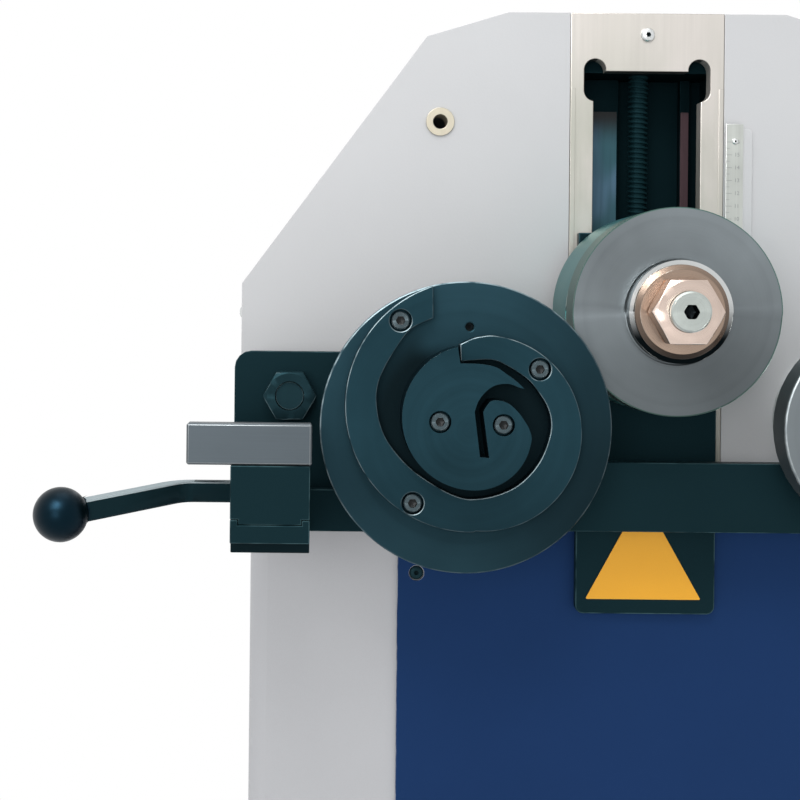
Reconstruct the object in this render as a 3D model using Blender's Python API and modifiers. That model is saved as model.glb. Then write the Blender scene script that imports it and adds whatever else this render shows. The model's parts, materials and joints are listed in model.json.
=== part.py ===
"""Floor-standing three-roll ring roller with a scroll former on its lower left shaft.

Metres, +Z up, +X to the operator's right, the operator stands at -Y.
The origin is the middle of the underside of the base plate.
"Ahead" is the distance towards the operator from the head's front face.
"""
import math

import bmesh
import bpy
from mathutils import Matrix, Vector

# Fits
GAP = 0.0003
RUNNING = 0.0003
OVERRUN = 0.004
WELD = 0.000002
ROUND_SIDES = 48
SMALL_SIDES = 18

# Cabinet
BASE_THICKNESS = 0.012
BASE_MARGIN = 0.012
CABINET_SIDE = 0.155
CABINET_DEPTH = 0.500
CABINET_HEIGHT = 0.875
CABINET_CORNER = 0.014
CABINET_SETBACK = 0.0033
SHEET = 0.003
DECK_THICKNESS = 0.015
PANEL_WIDTH = 0.383
PANEL_THICKNESS = 0.0025
PANEL_TOP_DROP = 0.008
PANEL_BOTTOM = 0.060
PANEL_LAP = 0.028
PANEL_HOLE_RADIUS = 0.0059
PANEL_HOLE_INSET = 0.0148
PANEL_HOLE_DROP = 0.0397

# Head
HEAD_OVERHANG = 0.0084
HEAD_SHOULDER = 0.1774
HEAD_KNEE = 0.3720
HEAD_CROWN = 0.0195
HEAD_KNEE_INSET = 0.1429
HEAD_TOP_INSET = 0.0640
HEAD_DEPTH = 0.200
PLATE_THICKNESS = 0.020
SHROUD_THICKNESS = 0.003

# Roll axes
LOWER_AXIS_RISE = 0.075
LOWER_ROLL_GAP = 0.154
TOP_AXIS_RISE = 0.0830
SHAFT_RADIUS = 0.0225

# Slide
CHANNEL_WIDTH = 0.120
CHANNEL_THICKNESS = 0.013
CHANNEL_FLOOR = 0.016
CHANNEL_WALL = 0.018
SLOT_TOP_DROP = 0.0455
RELIEF_RADIUS = 0.0086
RELIEF_HEIGHT = 0.0331
RELIEF_INSET = 0.0012
RELIEF_RISE = 0.0096
WAY_DEPTH = 0.049
WAY_WALL = 0.0045
WAY_BACK = 0.008
WAY_PAD = 0.008
WAY_LEFT_PAD_START = 0.010
WAY_LEFT_PAD_WIDTH = 0.033
WAY_RIGHT_PAD_START = 0.010
WAY_RIGHT_PAD_WIDTH = 0.008
BODY_CLEARANCE = 0.0016
BODY_BOTTOM_DROP = 0.1190
BODY_TOP_RISE = 0.0610
FACE_PLATE_INSET = 0.006
FACE_PLATE_THICKNESS = 0.008
FACE_PLATE_CLEARANCE = 0.001
FACE_PLATE_DROP = 0.2345
FACE_PLATE_CORNER = 0.006
AXLE_TAIL = 0.018

# Spindle
SPINDLE_RADIUS = 0.008
SPINDLE_DEPTH = 0.032
SPINDLE_ENGAGEMENT = 0.055
SPINDLE_COLLAR_RADIUS = 0.014
SPINDLE_COLLAR_HEIGHT = 0.006
SPINDLE_HEX = 0.012
SPINDLE_TOP_CLEARANCE = 0.004
SPINDLE_BLOCK_HEIGHT = 0.018
CRANK_HOLE_RADIUS = 0.0105

# Rollers
ROLLER_RADIUS = 0.075
ROLLER_BACK = 0.0145
ROLLER_BEAM_GAP = 0.013
ROLLER_CHAMFER = 0.0012
FRONT_RING_WIDTH = 0.0270
RING_JOINT = 0.0006
SLEEVE_RADIUS = 0.035
COLLAR_RADIUS = 0.0368
COLLAR_THICKNESS = 0.0105
WASHER_RADIUS = 0.0335
WASHER_THICKNESS = 0.0033
NUT_FLATS = 0.0445
NUT_THICKNESS = 0.0180
THREAD_RADIUS = 0.0143
SHAFT_PROUD = 0.0060
KEY_SOCKET_FLATS = 0.0100
KEY_SOCKET_DEPTH = 0.012
SPACER_RADIUS = 0.0275

# Bearings
BEARING_RADIUS = 0.045
BEARING_RIM = 0.007
BEARING_FLANGE = 0.008

# Drive train
GEAR_TEETH = 30
PINION_TEETH = 18
MESH_ANGLE = math.radians(13.0)
PRESSURE_ANGLE = math.radians(20.0)
ADDENDUM_SHARE = 0.95
DEDENDUM_SHARE = 1.25
TOOTH_BACKLASH_SHARE = 0.012
GEAR_BACK = 0.120
GEAR_WIDTH = 0.025
PINION_SHAFT_RADIUS = 0.018
PINION_NOSE = 0.010
SHAFT_TAIL = 0.006
GEARBOX_WIDTH = 0.140
GEARBOX_DEPTH = 0.130
GEARBOX_HEIGHT = 0.170
GEARBOX_SOCKET = 0.060
MOTOR_FLANGE_STEP = 0.006
MOTOR_LENGTH = 0.310
MOTOR_MARGIN = 0.001
MOTOR_FLANGE = 0.012
HOOD_SIDE_ROOM = 0.025
HOOD_BACK_ROOM = 0.020
HOOD_HEADROOM = 0.040
DECK_DRIVE_SIDE = 0.027
DECK_DRIVE_MARGIN = 0.0015
DECK_GEAR_MARGIN = 0.012

# Guide pins and ruler
BUSH_INSET = 0.0108
BUSH_DROP = 0.0670
BUSH_RADIUS = 0.0112
BUSH_BORE = 0.0057
BUSH_FLANGE = 0.002
RULER_GAP = 0.0008
RULER_WIDTH = 0.0135
RULER_THICKNESS = 0.0010
RULER_TOP_RISE = 0.1470
RULER_LENGTH = 0.180
STRIP_WIDTH = 0.0210
STRIP_THICKNESS = 0.0030
STRIP_TOP_DROP = 0.0035
STRIP_CORNER = 0.004

# Scroll attachment
STUD_INSET = 0.0386
STUD_RISE = 0.019
STUD_SHOULDER_RADIUS = 0.016
STUD_RADIUS = 0.0104
STUD_NUT_FLATS = 0.034
STUD_NUT_THICKNESS = 0.018
STUD_END_DROP = 0.003
BEAM_BACK = 0.045
BEAM_THICKNESS = 0.015
BEAM_END = 0.0023
BEAM_SHAFT_GAP = 0.0015
BEAM_BOTTOM_DROP = 0.0804
TOWER_WIDTH = 0.103
TOWER_TOP_RISE = 0.051
TOWER_CORNER = 0.012

# Scroll former
DISC_RADIUS = 0.103
DISC_ROLLER_GAP = 0.0015
DISC_THICKNESS = 0.0125
ARM_THICKNESS = 0.012
HUB_THICKNESS = 0.024
PIN_HOLE_RADIUS = 0.003
PIN_HOLE_X = 0.0020
PIN_HOLE_RISE = 0.071
SCREW_HEAD_RADIUS = 0.0065
SCREW_HEAD_HEIGHT = 0.008
SCREW_SHANK_RADIUS = 0.004
SCREW_SOCKET_FLATS = 0.006
SCREW_SOCKET_DEPTH = 0.004
COUNTERBORE_RADIUS = 0.0077
COUNTERBORE_DEPTH = 0.0086
SHANK_CLEARANCE = 0.0004

# Guide
GUIDE_WIDTH = 0.0536
GUIDE_JAW_STEP = 0.0010
GUIDE_REACH = 0.0635
GUIDE_SLIDE_ROOM = 0.0097
JAW_DISC_GAP = 0.0059
JAW_WIDTH = 0.0843
JAW_TOP_RISE = 0.0052
JAW_HEIGHT = 0.0280
JAW_DEPTH = 0.060
JAW_CHAMFER = 0.0012
JAW_LIP = 0.014
JAW_SHELF_DROP = 0.0125
SLIDE_HEIGHT = 0.0362
TONGUE_DROP = 0.0034
TONGUE_INSET = 0.0052
GUIDE_BASE_HEIGHT = 0.0238
UNDERCUT_HEIGHT = 0.0080
UNDERCUT_DEPTH = 0.012
FOOT_WIDTH = 0.050
FOOT_THICKNESS = 0.012
FOOT_RISE = 0.010
LEVER_SETBACK = 0.053
LEVER_DROP = 0.0239
LEVER_SHAFT_RADIUS = 0.0074
LEVER_SOCKET = 0.036
LEVER_STRAIGHT = 0.0275
LEVER_BEND = 0.010
KNOB_RADIUS = 0.0185
KNOB_OUT = 0.1134
KNOB_FORWARD = 0.053
KNOB_DROP = 0.0103
KNOB_SEAT_RADIUS = 0.0085
LEVER_BEND_SHARES = (0.25, 0.5, 0.75)

# Controls
BOX_WIDTH = 0.076
BOX_DEPTH = 0.095
BOX_HEIGHT = 0.150
BOX_AHEAD = 0.030
BOX_TOP_DROP = 0.060
BOX_BEVEL = 0.004
STOP_RADIUS = 0.020
STOP_HEAD = 0.010
STOP_STEM_RADIUS = 0.011
STOP_STEM = 0.012
STOP_HEAD_SHARES = [(0.0, 1.0), (0.8, 0.8), (1.0, 0.4), (0.95, 0.0)]
START_RADIUS = 0.011
START_PROUD = 0.007
BUTTON_SOCKET = 0.014
BUTTON_TRAVEL = 0.005
BUTTON_SPACING = 0.062

# Former outlines, as shares of the disc radius: x to the right, z up from the shaft axis
ARM_START_SHARES = [(-0.059, 0.572), (0.040, 0.618)]
ARM_FIRST_ARC_SHARES = (0.108, -0.029, 0.665)
ARM_SECOND_ARC_SHARES = (0.022, 0.154, 0.855)
ARM_INNER_SHARES = [
    (-0.240, 0.747), (-0.368, 0.688), (-0.433, 0.626), (-0.523, 0.488), (-0.578, 0.385),
    (-0.613, 0.282), (-0.616, 0.143), (-0.559, -0.058), (-0.378, -0.276), (-0.097, -0.447),
    (0.076, -0.471), (0.262, -0.422), (0.398, -0.330), (0.505, -0.184), (0.562, 0.006),
    (0.542, 0.138), (0.493, 0.227), (0.424, 0.317), (0.355, 0.372), (0.251, 0.434),
    (0.148, 0.469), (-0.052, 0.455),
]
HUB_HORN_SHARES = [
    (-0.068, 0.446), (0.060, 0.444), (0.167, 0.425), (0.235, 0.383), (0.310, 0.329), (0.360, 0.282),
]
HUB_CURL_SHARES = [
    (0.325, 0.290), (0.256, 0.313), (0.167, 0.302), (0.099, 0.254), (0.051, 0.186), (0.031, 0.117),
]
HUB_SLOT_END_SHARES = [(0.069, -0.179), (0.131, -0.184)]
HUB_NOSE_SHARES = [
    (0.088, 0.122), (0.133, 0.193), (0.201, 0.200), (0.269, 0.173), (0.338, 0.105), (0.392, 0.022),
]
HUB_RIGHT_ARC_SHARES = (0.033, -0.021, 0.381)
HUB_LEFT_ARC_SHARES = (0.033, 0.085, 0.487)
ARM_SCREW_SHARES = [(-0.462, 0.729), (0.484, 0.408), (-0.369, -0.507)]
HUB_SCREW_SHARES = [(-0.199, 0.054), (0.226, 0.037)]
ARM_FIRST_ARC_ANGLES = (86.7, -94.1)
ARM_SECOND_ARC_ANGLES = (-88.5, -251.9)
HUB_RIGHT_ARC_ANGLES = (-4.0, -86.0)
HUB_LEFT_ARC_ANGLES = (-92.0, -255.8)

# Places worked out from the sizes above
FACE_Y = -CABINET_DEPTH / 2
HEAD_BOTTOM_Z = CABINET_HEIGHT + GAP
LOWER_AXIS_Z = HEAD_BOTTOM_Z + LOWER_AXIS_RISE
LOWER_AXIS_X = ROLLER_RADIUS + LOWER_ROLL_GAP / 2
TOP_AXIS_Z = LOWER_AXIS_Z + TOP_AXIS_RISE
CABINET_WIDTH = 2 * (LOWER_AXIS_X + CABINET_SIDE)
HEAD_WIDTH = CABINET_WIDTH + 2 * HEAD_OVERHANG
HEAD_KNEE_WIDTH = HEAD_WIDTH - 2 * HEAD_KNEE_INSET
HEAD_TOP_WIDTH = HEAD_KNEE_WIDTH - 2 * HEAD_TOP_INSET
HEAD_TOP = HEAD_KNEE + HEAD_CROWN
HEAD_TOP_Z = HEAD_BOTTOM_Z + HEAD_TOP
BUSH_X = HEAD_KNEE_WIDTH / 2 - BUSH_INSET
BUSH_RISE = HEAD_KNEE - BUSH_DROP
STUD_X = HEAD_WIDTH / 2 - STUD_INSET
SLOT_WIDTH = CHANNEL_WIDTH - 2 * CHANNEL_WALL
BODY_DEPTH = WAY_DEPTH - WAY_BACK - WAY_PAD - BODY_CLEARANCE
FACE_PLATE_WIDTH = CHANNEL_WIDTH - 2 * FACE_PLATE_INSET
CHANNEL_BOTTOM_Z = HEAD_BOTTOM_Z + CHANNEL_FLOOR
SLOT_TOP_Z = HEAD_TOP_Z - SLOT_TOP_DROP
MESH_DISTANCE = LOWER_AXIS_X / math.cos(MESH_ANGLE)
TOOTH_MODULE = 2 * MESH_DISTANCE / (GEAR_TEETH + PINION_TEETH)
PINION_Z = LOWER_AXIS_Z + LOWER_AXIS_X * math.tan(MESH_ANGLE)
BEAM_FRONT = BEAM_BACK + BEAM_THICKNESS
BEAM_TOP_DROP = SPACER_RADIUS + BEAM_SHAFT_GAP
ROLLER_FRONT = BEAM_FRONT + ROLLER_BEAM_GAP + FRONT_RING_WIDTH
DISC_BACK = ROLLER_FRONT + DISC_ROLLER_GAP
DISC_FRONT = DISC_BACK + DISC_THICKNESS
ARM_FRONT = DISC_FRONT + GAP + ARM_THICKNESS
HUB_FRONT = DISC_FRONT + GAP + HUB_THICKNESS
COLLAR_FRONT = ROLLER_FRONT + GAP + COLLAR_THICKNESS
WASHER_FRONT = COLLAR_FRONT + GAP + WASHER_THICKNESS
NUT_FRONT = WASHER_FRONT + GAP + NUT_THICKNESS
SHAFT_FRONT = NUT_FRONT + SHAFT_PROUD
JAW_RIGHT_X = -(LOWER_AXIS_X + DISC_RADIUS + JAW_DISC_GAP)
GUIDE_RIGHT_X = JAW_RIGHT_X - GUIDE_JAW_STEP
GUIDE_LEFT_X = GUIDE_RIGHT_X - GUIDE_WIDTH
GUIDE_FRONT = DISC_BACK + GUIDE_REACH
GUIDE_SLIDE_BACK = BEAM_FRONT + GAP + FOOT_THICKNESS + GUIDE_SLIDE_ROOM
SLIDE_BOTTOM_Z = LOWER_AXIS_Z + JAW_TOP_RISE - JAW_HEIGHT - GAP - SLIDE_HEIGHT
BEAM_LEFT_X = GUIDE_LEFT_X - BEAM_END
LEVER_AHEAD = GUIDE_FRONT - LEVER_SETBACK
LEVER_Z = LOWER_AXIS_Z + JAW_TOP_RISE - JAW_HEIGHT - LEVER_DROP
BEARING_FLANGE_RADIUS = BEARING_RADIUS + BEARING_RIM
MOTOR_FLANGE_RADIUS = GEARBOX_DEPTH / 2 - MOTOR_MARGIN
MOTOR_RADIUS = MOTOR_FLANGE_RADIUS - MOTOR_FLANGE_STEP
DECK_DRIVE_HALF = MOTOR_RADIUS + DECK_DRIVE_SIDE

# Turns: plates and turned pieces that face the operator, and those that lie flat
FACING = (math.pi / 2, 0, 0)
UPRIGHT = (0, 0, 0)

# Collections
for leftover in list(bpy.data.objects):
    bpy.data.objects.remove(leftover, do_unlink=True)
parts = bpy.data.collections.new("ring_roller")
cutters = bpy.data.collections.new("cutters")
bpy.context.scene.collection.children.link(parts)
bpy.context.scene.collection.children.link(cutters)


def paint(name, colour, roughness, metallic):
    """A plain Principled material."""
    material = bpy.data.materials.new(name)
    material.use_nodes = True
    shader = material.node_tree.nodes["Principled BSDF"]
    shader.inputs["Base Color"].default_value = (*colour, 1.0)
    shader.inputs["Roughness"].default_value = roughness
    shader.inputs["Metallic"].default_value = metallic
    return material


LIGHT_PAINT = paint("light_grey_paint", (0.58, 0.58, 0.60), 0.5, 0.0)
COLUMN_PAINT = paint("column_grey_paint", (0.45, 0.46, 0.48), 0.5, 0.0)
BLUE_PAINT = paint("blue_paint", (0.014, 0.040, 0.120), 0.45, 0.0)
DARK_PAINT = paint("dark_machine_paint", (0.010, 0.026, 0.033), 0.45, 0.0)
BLACK_OXIDE = paint("black_oxide_steel", (0.025, 0.050, 0.060), 0.40, 0.7)
GROUND_STEEL = paint("ground_steel", (0.21, 0.225, 0.235), 0.38, 0.9)
BRIGHT_STEEL = paint("bright_steel", (0.60, 0.62, 0.60), 0.30, 1.0)
NICKEL = paint("nickel_plate", (0.62, 0.58, 0.52), 0.35, 0.8)
BRONZE_NICKEL = paint("copper_toned_nickel", (0.66, 0.50, 0.43), 0.30, 1.0)
BALL_BLACK = paint("ball_black", (0.006, 0.009, 0.014), 0.12, 0.0)
STOP_RED = paint("stop_red", (0.55, 0.02, 0.02), 0.35, 0.0)
START_GREEN = paint("start_green", (0.02, 0.30, 0.08), 0.35, 0.0)


def ahead(distance):
    """World Y of a plane that lies this far towards the operator from the head's face."""
    return FACE_Y - distance


def place(name, data, material, location=(0, 0, 0), rotation=(0, 0, 0), group=parts):
    """A named object of this data, in its collection."""
    thing = bpy.data.objects.new(name, data)
    thing.location = location
    thing.rotation_euler = rotation
    if material is not None:
        data.materials.append(material)
    group.objects.link(thing)
    return thing


def as_cutter(thing):
    """Hides a shape that only cuts others."""
    thing.hide_render = True
    thing.display_type = "WIRE"
    return thing


def flat_outline(name, outlines, thickness, material, location, rotation=FACING, group=parts):
    """A plate: the first outline is its edge, the others are holes. Its middle plane is at location."""
    curve = bpy.data.curves.new(name, "CURVE")
    curve.dimensions = "2D"
    curve.fill_mode = "BOTH"
    curve.extrude = thickness / 2
    for points in outlines:
        spline = curve.splines.new("POLY")
        spline.points.add(len(points) - 1)
        for point, (x, y) in zip(spline.points, points):
            point.co = (x, y, 0, 1)
        spline.use_cyclic_u = True
    return place(name, curve, material, location, rotation, group)


def plate_between(name, outlines, back, front, material, x=0.0, z=0.0):
    """A plate that faces the operator, between two distances ahead of the head's face."""
    return flat_outline(name, outlines, front - back, material, (x, ahead((back + front) / 2), z))


def turned(name, profile, material, location, rotation=FACING, sides=ROUND_SIDES, ring=False):
    """A turned piece: the profile is (radius, distance along the axis), front end first."""
    mesh = bpy.data.meshes.new(name)
    shape = bmesh.new()
    points = [shape.verts.new((radius, 0, along)) for radius, along in profile]
    for start, end in zip(points, points[1:]):
        shape.edges.new((start, end))
    if ring:
        shape.edges.new((points[-1], points[0]))
    shape.to_mesh(mesh)
    shape.free()
    thing = place(name, mesh, material, location, rotation)
    screw = thing.modifiers.new("turn", "SCREW")
    screw.axis = "Z"
    screw.angle = 2 * math.pi
    screw.steps = sides
    screw.render_steps = sides
    screw.use_merge_vertices = True
    screw.merge_threshold = WELD
    screw.use_smooth_shade = True
    return thing


def ring_profile(inner, outer, back, front, chamfer=0.0):
    """Section of a ring, with chamfered outer edges where a chamfer is given."""
    if chamfer == 0.0:
        edge = [(outer, front), (outer, back)]
    else:
        edge = [
            (outer - chamfer, front), (outer, front - chamfer),
            (outer, back + chamfer), (outer - chamfer, back),
        ]
    return edge + [(inner, back), (inner, front)]


def rod_profile(radius, back, front):
    """Section of a plain solid rod."""
    return [(0, front), (radius, front), (radius, back), (0, back)]


def block(name, size, middle, material, bevel=0.0, group=parts):
    """A box of this size around its middle."""
    mesh = bpy.data.meshes.new(name)
    shape = bmesh.new()
    bmesh.ops.create_cube(shape, size=1.0, matrix=Matrix.Diagonal((*size, 1.0)))
    shape.to_mesh(mesh)
    shape.free()
    thing = place(name, mesh, material, middle, UPRIGHT, group)
    if bevel > 0:
        soften(thing, bevel)
    return thing


def span_block(name, x_range, ahead_range, z_range, material, bevel=0.0, group=parts):
    """A box between two X, two distances ahead and two heights."""
    size = (x_range[1] - x_range[0], ahead_range[1] - ahead_range[0], z_range[1] - z_range[0])
    middle = (sum(x_range) / 2, ahead(sum(ahead_range) / 2), sum(z_range) / 2)
    return block(name, size, middle, material, bevel, group)


def soften(thing, width):
    """A one-step chamfer along the sharp edges."""
    bevel = thing.modifiers.new("chamfer", "BEVEL")
    bevel.width = width
    bevel.segments = 1
    bevel.limit_method = "ANGLE"
    bevel.angle_limit = math.radians(40)


def cut(thing, cutter, operation="DIFFERENCE"):
    """An exact Boolean with a cutter."""
    boolean = thing.modifiers.new(cutter.name, "BOOLEAN")
    boolean.operation = operation
    boolean.solver = "EXACT"
    boolean.object = cutter


def meshed(thing):
    """The same piece as a welded mesh object."""
    bpy.context.view_layer.update()
    graph = bpy.context.evaluated_depsgraph_get()
    mesh = bpy.data.meshes.new_from_object(thing.evaluated_get(graph))
    shape = bmesh.new()
    shape.from_mesh(mesh)
    bmesh.ops.remove_doubles(shape, verts=shape.verts, dist=WELD)
    bmesh.ops.recalc_face_normals(shape, faces=shape.faces)
    shape.to_mesh(mesh)
    shape.free()
    name = thing.name
    group = thing.users_collection[0]
    matrix = thing.matrix_world.copy()
    bpy.data.objects.remove(thing, do_unlink=True)
    solid = bpy.data.objects.new(name, mesh)
    solid.matrix_world = matrix
    group.objects.link(solid)
    return solid


def round_cutter(name, radius, length, middle, rotation=FACING, sides=SMALL_SIDES):
    """A cylinder that only cuts."""
    mesh = bpy.data.meshes.new(name)
    shape = bmesh.new()
    bmesh.ops.create_cone(
        shape, cap_ends=True, segments=sides, radius1=radius, radius2=radius, depth=length
    )
    shape.to_mesh(mesh)
    shape.free()
    return as_cutter(place(name, mesh, None, middle, rotation, cutters))


def circle(radius, x=0.0, y=0.0, sides=SMALL_SIDES, phase=0.0):
    """Points around a circle."""
    turn = 2 * math.pi / sides
    return [
        (x + radius * math.cos(phase + turn * i), y + radius * math.sin(phase + turn * i))
        for i in range(sides)
    ]


def hexagon(flats, x=0.0, y=0.0):
    """A hexagon of this size across its flats, with corners to the left and right."""
    return circle(flats / math.sqrt(3), x, y, sides=6)


def arc(x, y, radius, start, end, steps):
    """Points along an arc between two angles in degrees, both ends included."""
    points = []
    for i in range(steps + 1):
        angle = math.radians(start + (end - start) * i / steps)
        points.append((x + radius * math.cos(angle), y + radius * math.sin(angle)))
    return points


def rectangle(left, bottom, right, top):
    """Corners of a rectangle."""
    return [(left, bottom), (right, bottom), (right, top), (left, top)]


def rounded(left, bottom, right, top, radius, steps=4):
    """A rectangle with round corners."""
    return (
        arc(right - radius, top - radius, radius, 0, 90, steps)
        + arc(left + radius, top - radius, radius, 90, 180, steps)
        + arc(left + radius, bottom + radius, radius, 180, 270, steps)
        + arc(right - radius, bottom + radius, radius, 270, 360, steps)
    )


def smooth_run(points, steps=3):
    """Points of a smooth curve through these points, both ends included."""
    run = []
    last = len(points) - 1
    for i in range(last):
        before = Vector(points[max(i - 1, 0)])
        start = Vector(points[i])
        end = Vector(points[i + 1])
        after = Vector(points[min(i + 2, last)])
        for k in range(steps):
            t = k / steps
            bend = (end - before) * t + (before * 2 - start * 5 + end * 4 - after) * t * t
            bend += (start * 3 - before - end * 3 + after) * t * t * t
            run.append(tuple(start + bend / 2))
    run.append(tuple(points[last]))
    return run


def mirrored(points):
    """An outline's left half reversed to its right half."""
    return [(-x, y) for x, y in reversed(points)]


def head_outline(inset=0.0):
    """Left half of the head's outline from the bottom to the top, moved inwards by an inset."""
    half = [
        (HEAD_WIDTH / 2, 0.0), (HEAD_WIDTH / 2, HEAD_SHOULDER), (HEAD_KNEE_WIDTH / 2, HEAD_KNEE),
        (HEAD_TOP_WIDTH / 2, HEAD_TOP), (0.0, HEAD_TOP),
    ]
    lines = []
    for (x0, y0), (x1, y1) in zip(half, half[1:]):
        length = math.hypot(x1 - x0, y1 - y0)
        normal = ((y1 - y0) / length, (x0 - x1) / length)
        lines.append((normal, normal[0] * x0 + normal[1] * y0 - inset))
    moved = [(HEAD_WIDTH / 2 - inset, 0.0)]
    for (a, p), (b, q) in zip(lines, lines[1:]):
        cross = a[0] * b[1] - a[1] * b[0]
        moved.append(((p * b[1] - q * a[1]) / cross, (a[0] * q - b[0] * p) / cross))
    moved.append((0.0, HEAD_TOP - inset))
    return [(-x, y) for x, y in moved]


def build_cabinet():
    """Base plate, sheet shell, deck and the two panels."""
    shell_front = -CABINET_SETBACK
    shell_back = shell_front - (CABINET_DEPTH - 2 * CABINET_SETBACK)
    middle_y = (ahead(shell_front) + ahead(shell_back)) / 2
    half_depth = (shell_front - shell_back) / 2
    half_width = CABINET_WIDTH / 2
    margin = BASE_MARGIN
    flat_outline(
        "base_plate",
        [rounded(-half_width - margin, -half_depth - margin, half_width + margin, half_depth + margin,
                 CABINET_CORNER + margin)],
        BASE_THICKNESS, DARK_PAINT, (0, middle_y, BASE_THICKNESS / 2), UPRIGHT,
    )
    bottom = BASE_THICKNESS + GAP
    shell = meshed(flat_outline(
        "cabinet_shell",
        [rounded(-half_width, -half_depth, half_width, half_depth, CABINET_CORNER, 6),
         rounded(-half_width + SHEET, -half_depth + SHEET, half_width - SHEET, half_depth - SHEET,
                 CABINET_CORNER - SHEET, 6)],
        CABINET_HEIGHT - bottom, COLUMN_PAINT, (0, middle_y, (CABINET_HEIGHT + bottom) / 2), UPRIGHT,
    ))
    opening = as_cutter(block(
        "panel_openings",
        (PANEL_WIDTH - 2 * PANEL_LAP, CABINET_DEPTH + OVERRUN,
         CABINET_HEIGHT - PANEL_TOP_DROP - PANEL_BOTTOM - 2 * PANEL_LAP),
        (0, middle_y, (CABINET_HEIGHT - PANEL_TOP_DROP + PANEL_BOTTOM) / 2), None, group=cutters,
    ))
    cut(shell, opening)
    inner_half_width = half_width - SHEET - GAP
    inner_half_depth = half_depth - SHEET - GAP
    gear_reach = TOOTH_MODULE * (GEAR_TEETH / 2 + 1) + DECK_GEAR_MARGIN
    gear_hole = rectangle(
        -LOWER_AXIS_X - gear_reach, ahead(-GEAR_BACK + GEAR_WIDTH + DECK_GEAR_MARGIN) - middle_y,
        LOWER_AXIS_X + gear_reach, ahead(-GEAR_BACK - DECK_GEAR_MARGIN) - middle_y,
    )
    drive_hole = rectangle(
        -DECK_DRIVE_HALF, ahead(-HEAD_DEPTH - DECK_DRIVE_MARGIN) - middle_y,
        DECK_DRIVE_HALF, ahead(-HEAD_DEPTH - GEARBOX_DEPTH - DECK_DRIVE_MARGIN) - middle_y,
    )
    flat_outline(
        "cabinet_deck",
        [rounded(-inner_half_width, -inner_half_depth, inner_half_width, inner_half_depth,
                 CABINET_CORNER - SHEET - GAP), gear_hole, drive_hole],
        DECK_THICKNESS, COLUMN_PAINT, (0, middle_y, CABINET_HEIGHT - DECK_THICKNESS / 2), UPRIGHT,
    )
    half_panel = PANEL_WIDTH / 2
    panel_top = CABINET_HEIGHT - PANEL_TOP_DROP
    hole_x = half_panel - PANEL_HOLE_INSET
    outlines = [rectangle(-half_panel, PANEL_BOTTOM, half_panel, panel_top)]
    for x in (-hole_x, hole_x):
        for z in (PANEL_BOTTOM + PANEL_HOLE_DROP, panel_top - PANEL_HOLE_DROP):
            outlines.append(circle(PANEL_HOLE_RADIUS, x, z, 16))
    panel_back = shell_front + GAP
    panel_front = shell_back - GAP
    plate_between("front_panel", outlines, panel_back, panel_back + PANEL_THICKNESS, BLUE_PAINT)
    plate_between("rear_panel", outlines, panel_front - PANEL_THICKNESS, panel_front, COLUMN_PAINT)


def build_head():
    """Front and rear plates, the shroud between them and the bushes in the front plate."""
    half_notch = CHANNEL_WIDTH / 2 + GAP
    left = head_outline()
    notched = left[:-1] + [(-half_notch, HEAD_TOP), (-half_notch, CHANNEL_FLOOR)]
    edge = notched + mirrored(notched)
    holes = []
    for side in (-1, 1):
        holes.append(circle(BEARING_RADIUS + GAP, side * LOWER_AXIS_X, LOWER_AXIS_RISE, 40))
        holes.append(circle(STUD_RADIUS + GAP, side * STUD_X, LOWER_AXIS_RISE + STUD_RISE))
        holes.append(circle(BUSH_RADIUS - BUSH_FLANGE + GAP, side * BUSH_X, BUSH_RISE))
    plate_between("head_front_plate", [edge] + holes, -PLATE_THICKNESS, 0, LIGHT_PAINT, z=HEAD_BOTTOM_Z)
    full = left[:-1] + mirrored(left[:-1])
    rear_holes = []
    for side in (-1, 1):
        rear_holes.append(circle(SHAFT_RADIUS + RUNNING, side * LOWER_AXIS_X, LOWER_AXIS_RISE, 32))
    rear_holes.append(circle(PINION_SHAFT_RADIUS + RUNNING, 0, PINION_Z - HEAD_BOTTOM_Z, 32))
    plate_between("head_rear_plate", [full] + rear_holes, -HEAD_DEPTH, -HEAD_DEPTH + PLATE_THICKNESS,
                  LIGHT_PAINT, z=HEAD_BOTTOM_Z)
    inner = head_outline(SHROUD_THICKNESS)
    band = left[:-1] + mirrored(left[:-1]) + list(reversed(inner[:-1] + mirrored(inner[:-1])))
    shroud = meshed(plate_between(
        "head_shroud", [band], -HEAD_DEPTH + PLATE_THICKNESS + GAP, -PLATE_THICKNESS - GAP,
        LIGHT_PAINT, z=HEAD_BOTTOM_Z,
    ))
    cut(shroud, round_cutter(
        "crank_hole", CRANK_HOLE_RADIUS, 2 * SHROUD_THICKNESS + OVERRUN,
        (0, ahead(-SPINDLE_DEPTH), HEAD_TOP_Z), UPRIGHT,
    ))
    for side, name in ((-1, "bush_left"), (1, "bush_right")):
        turned(
            name,
            [(BUSH_RADIUS, BUSH_FLANGE), (BUSH_RADIUS, GAP), (BUSH_RADIUS - BUSH_FLANGE, GAP),
             (BUSH_RADIUS - BUSH_FLANGE, -PLATE_THICKNESS), (BUSH_BORE, -PLATE_THICKNESS),
             (BUSH_BORE, BUSH_FLANGE)],
            NICKEL, (side * BUSH_X, FACE_Y, HEAD_BOTTOM_Z + BUSH_RISE), sides=SMALL_SIDES, ring=True,
        )


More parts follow.
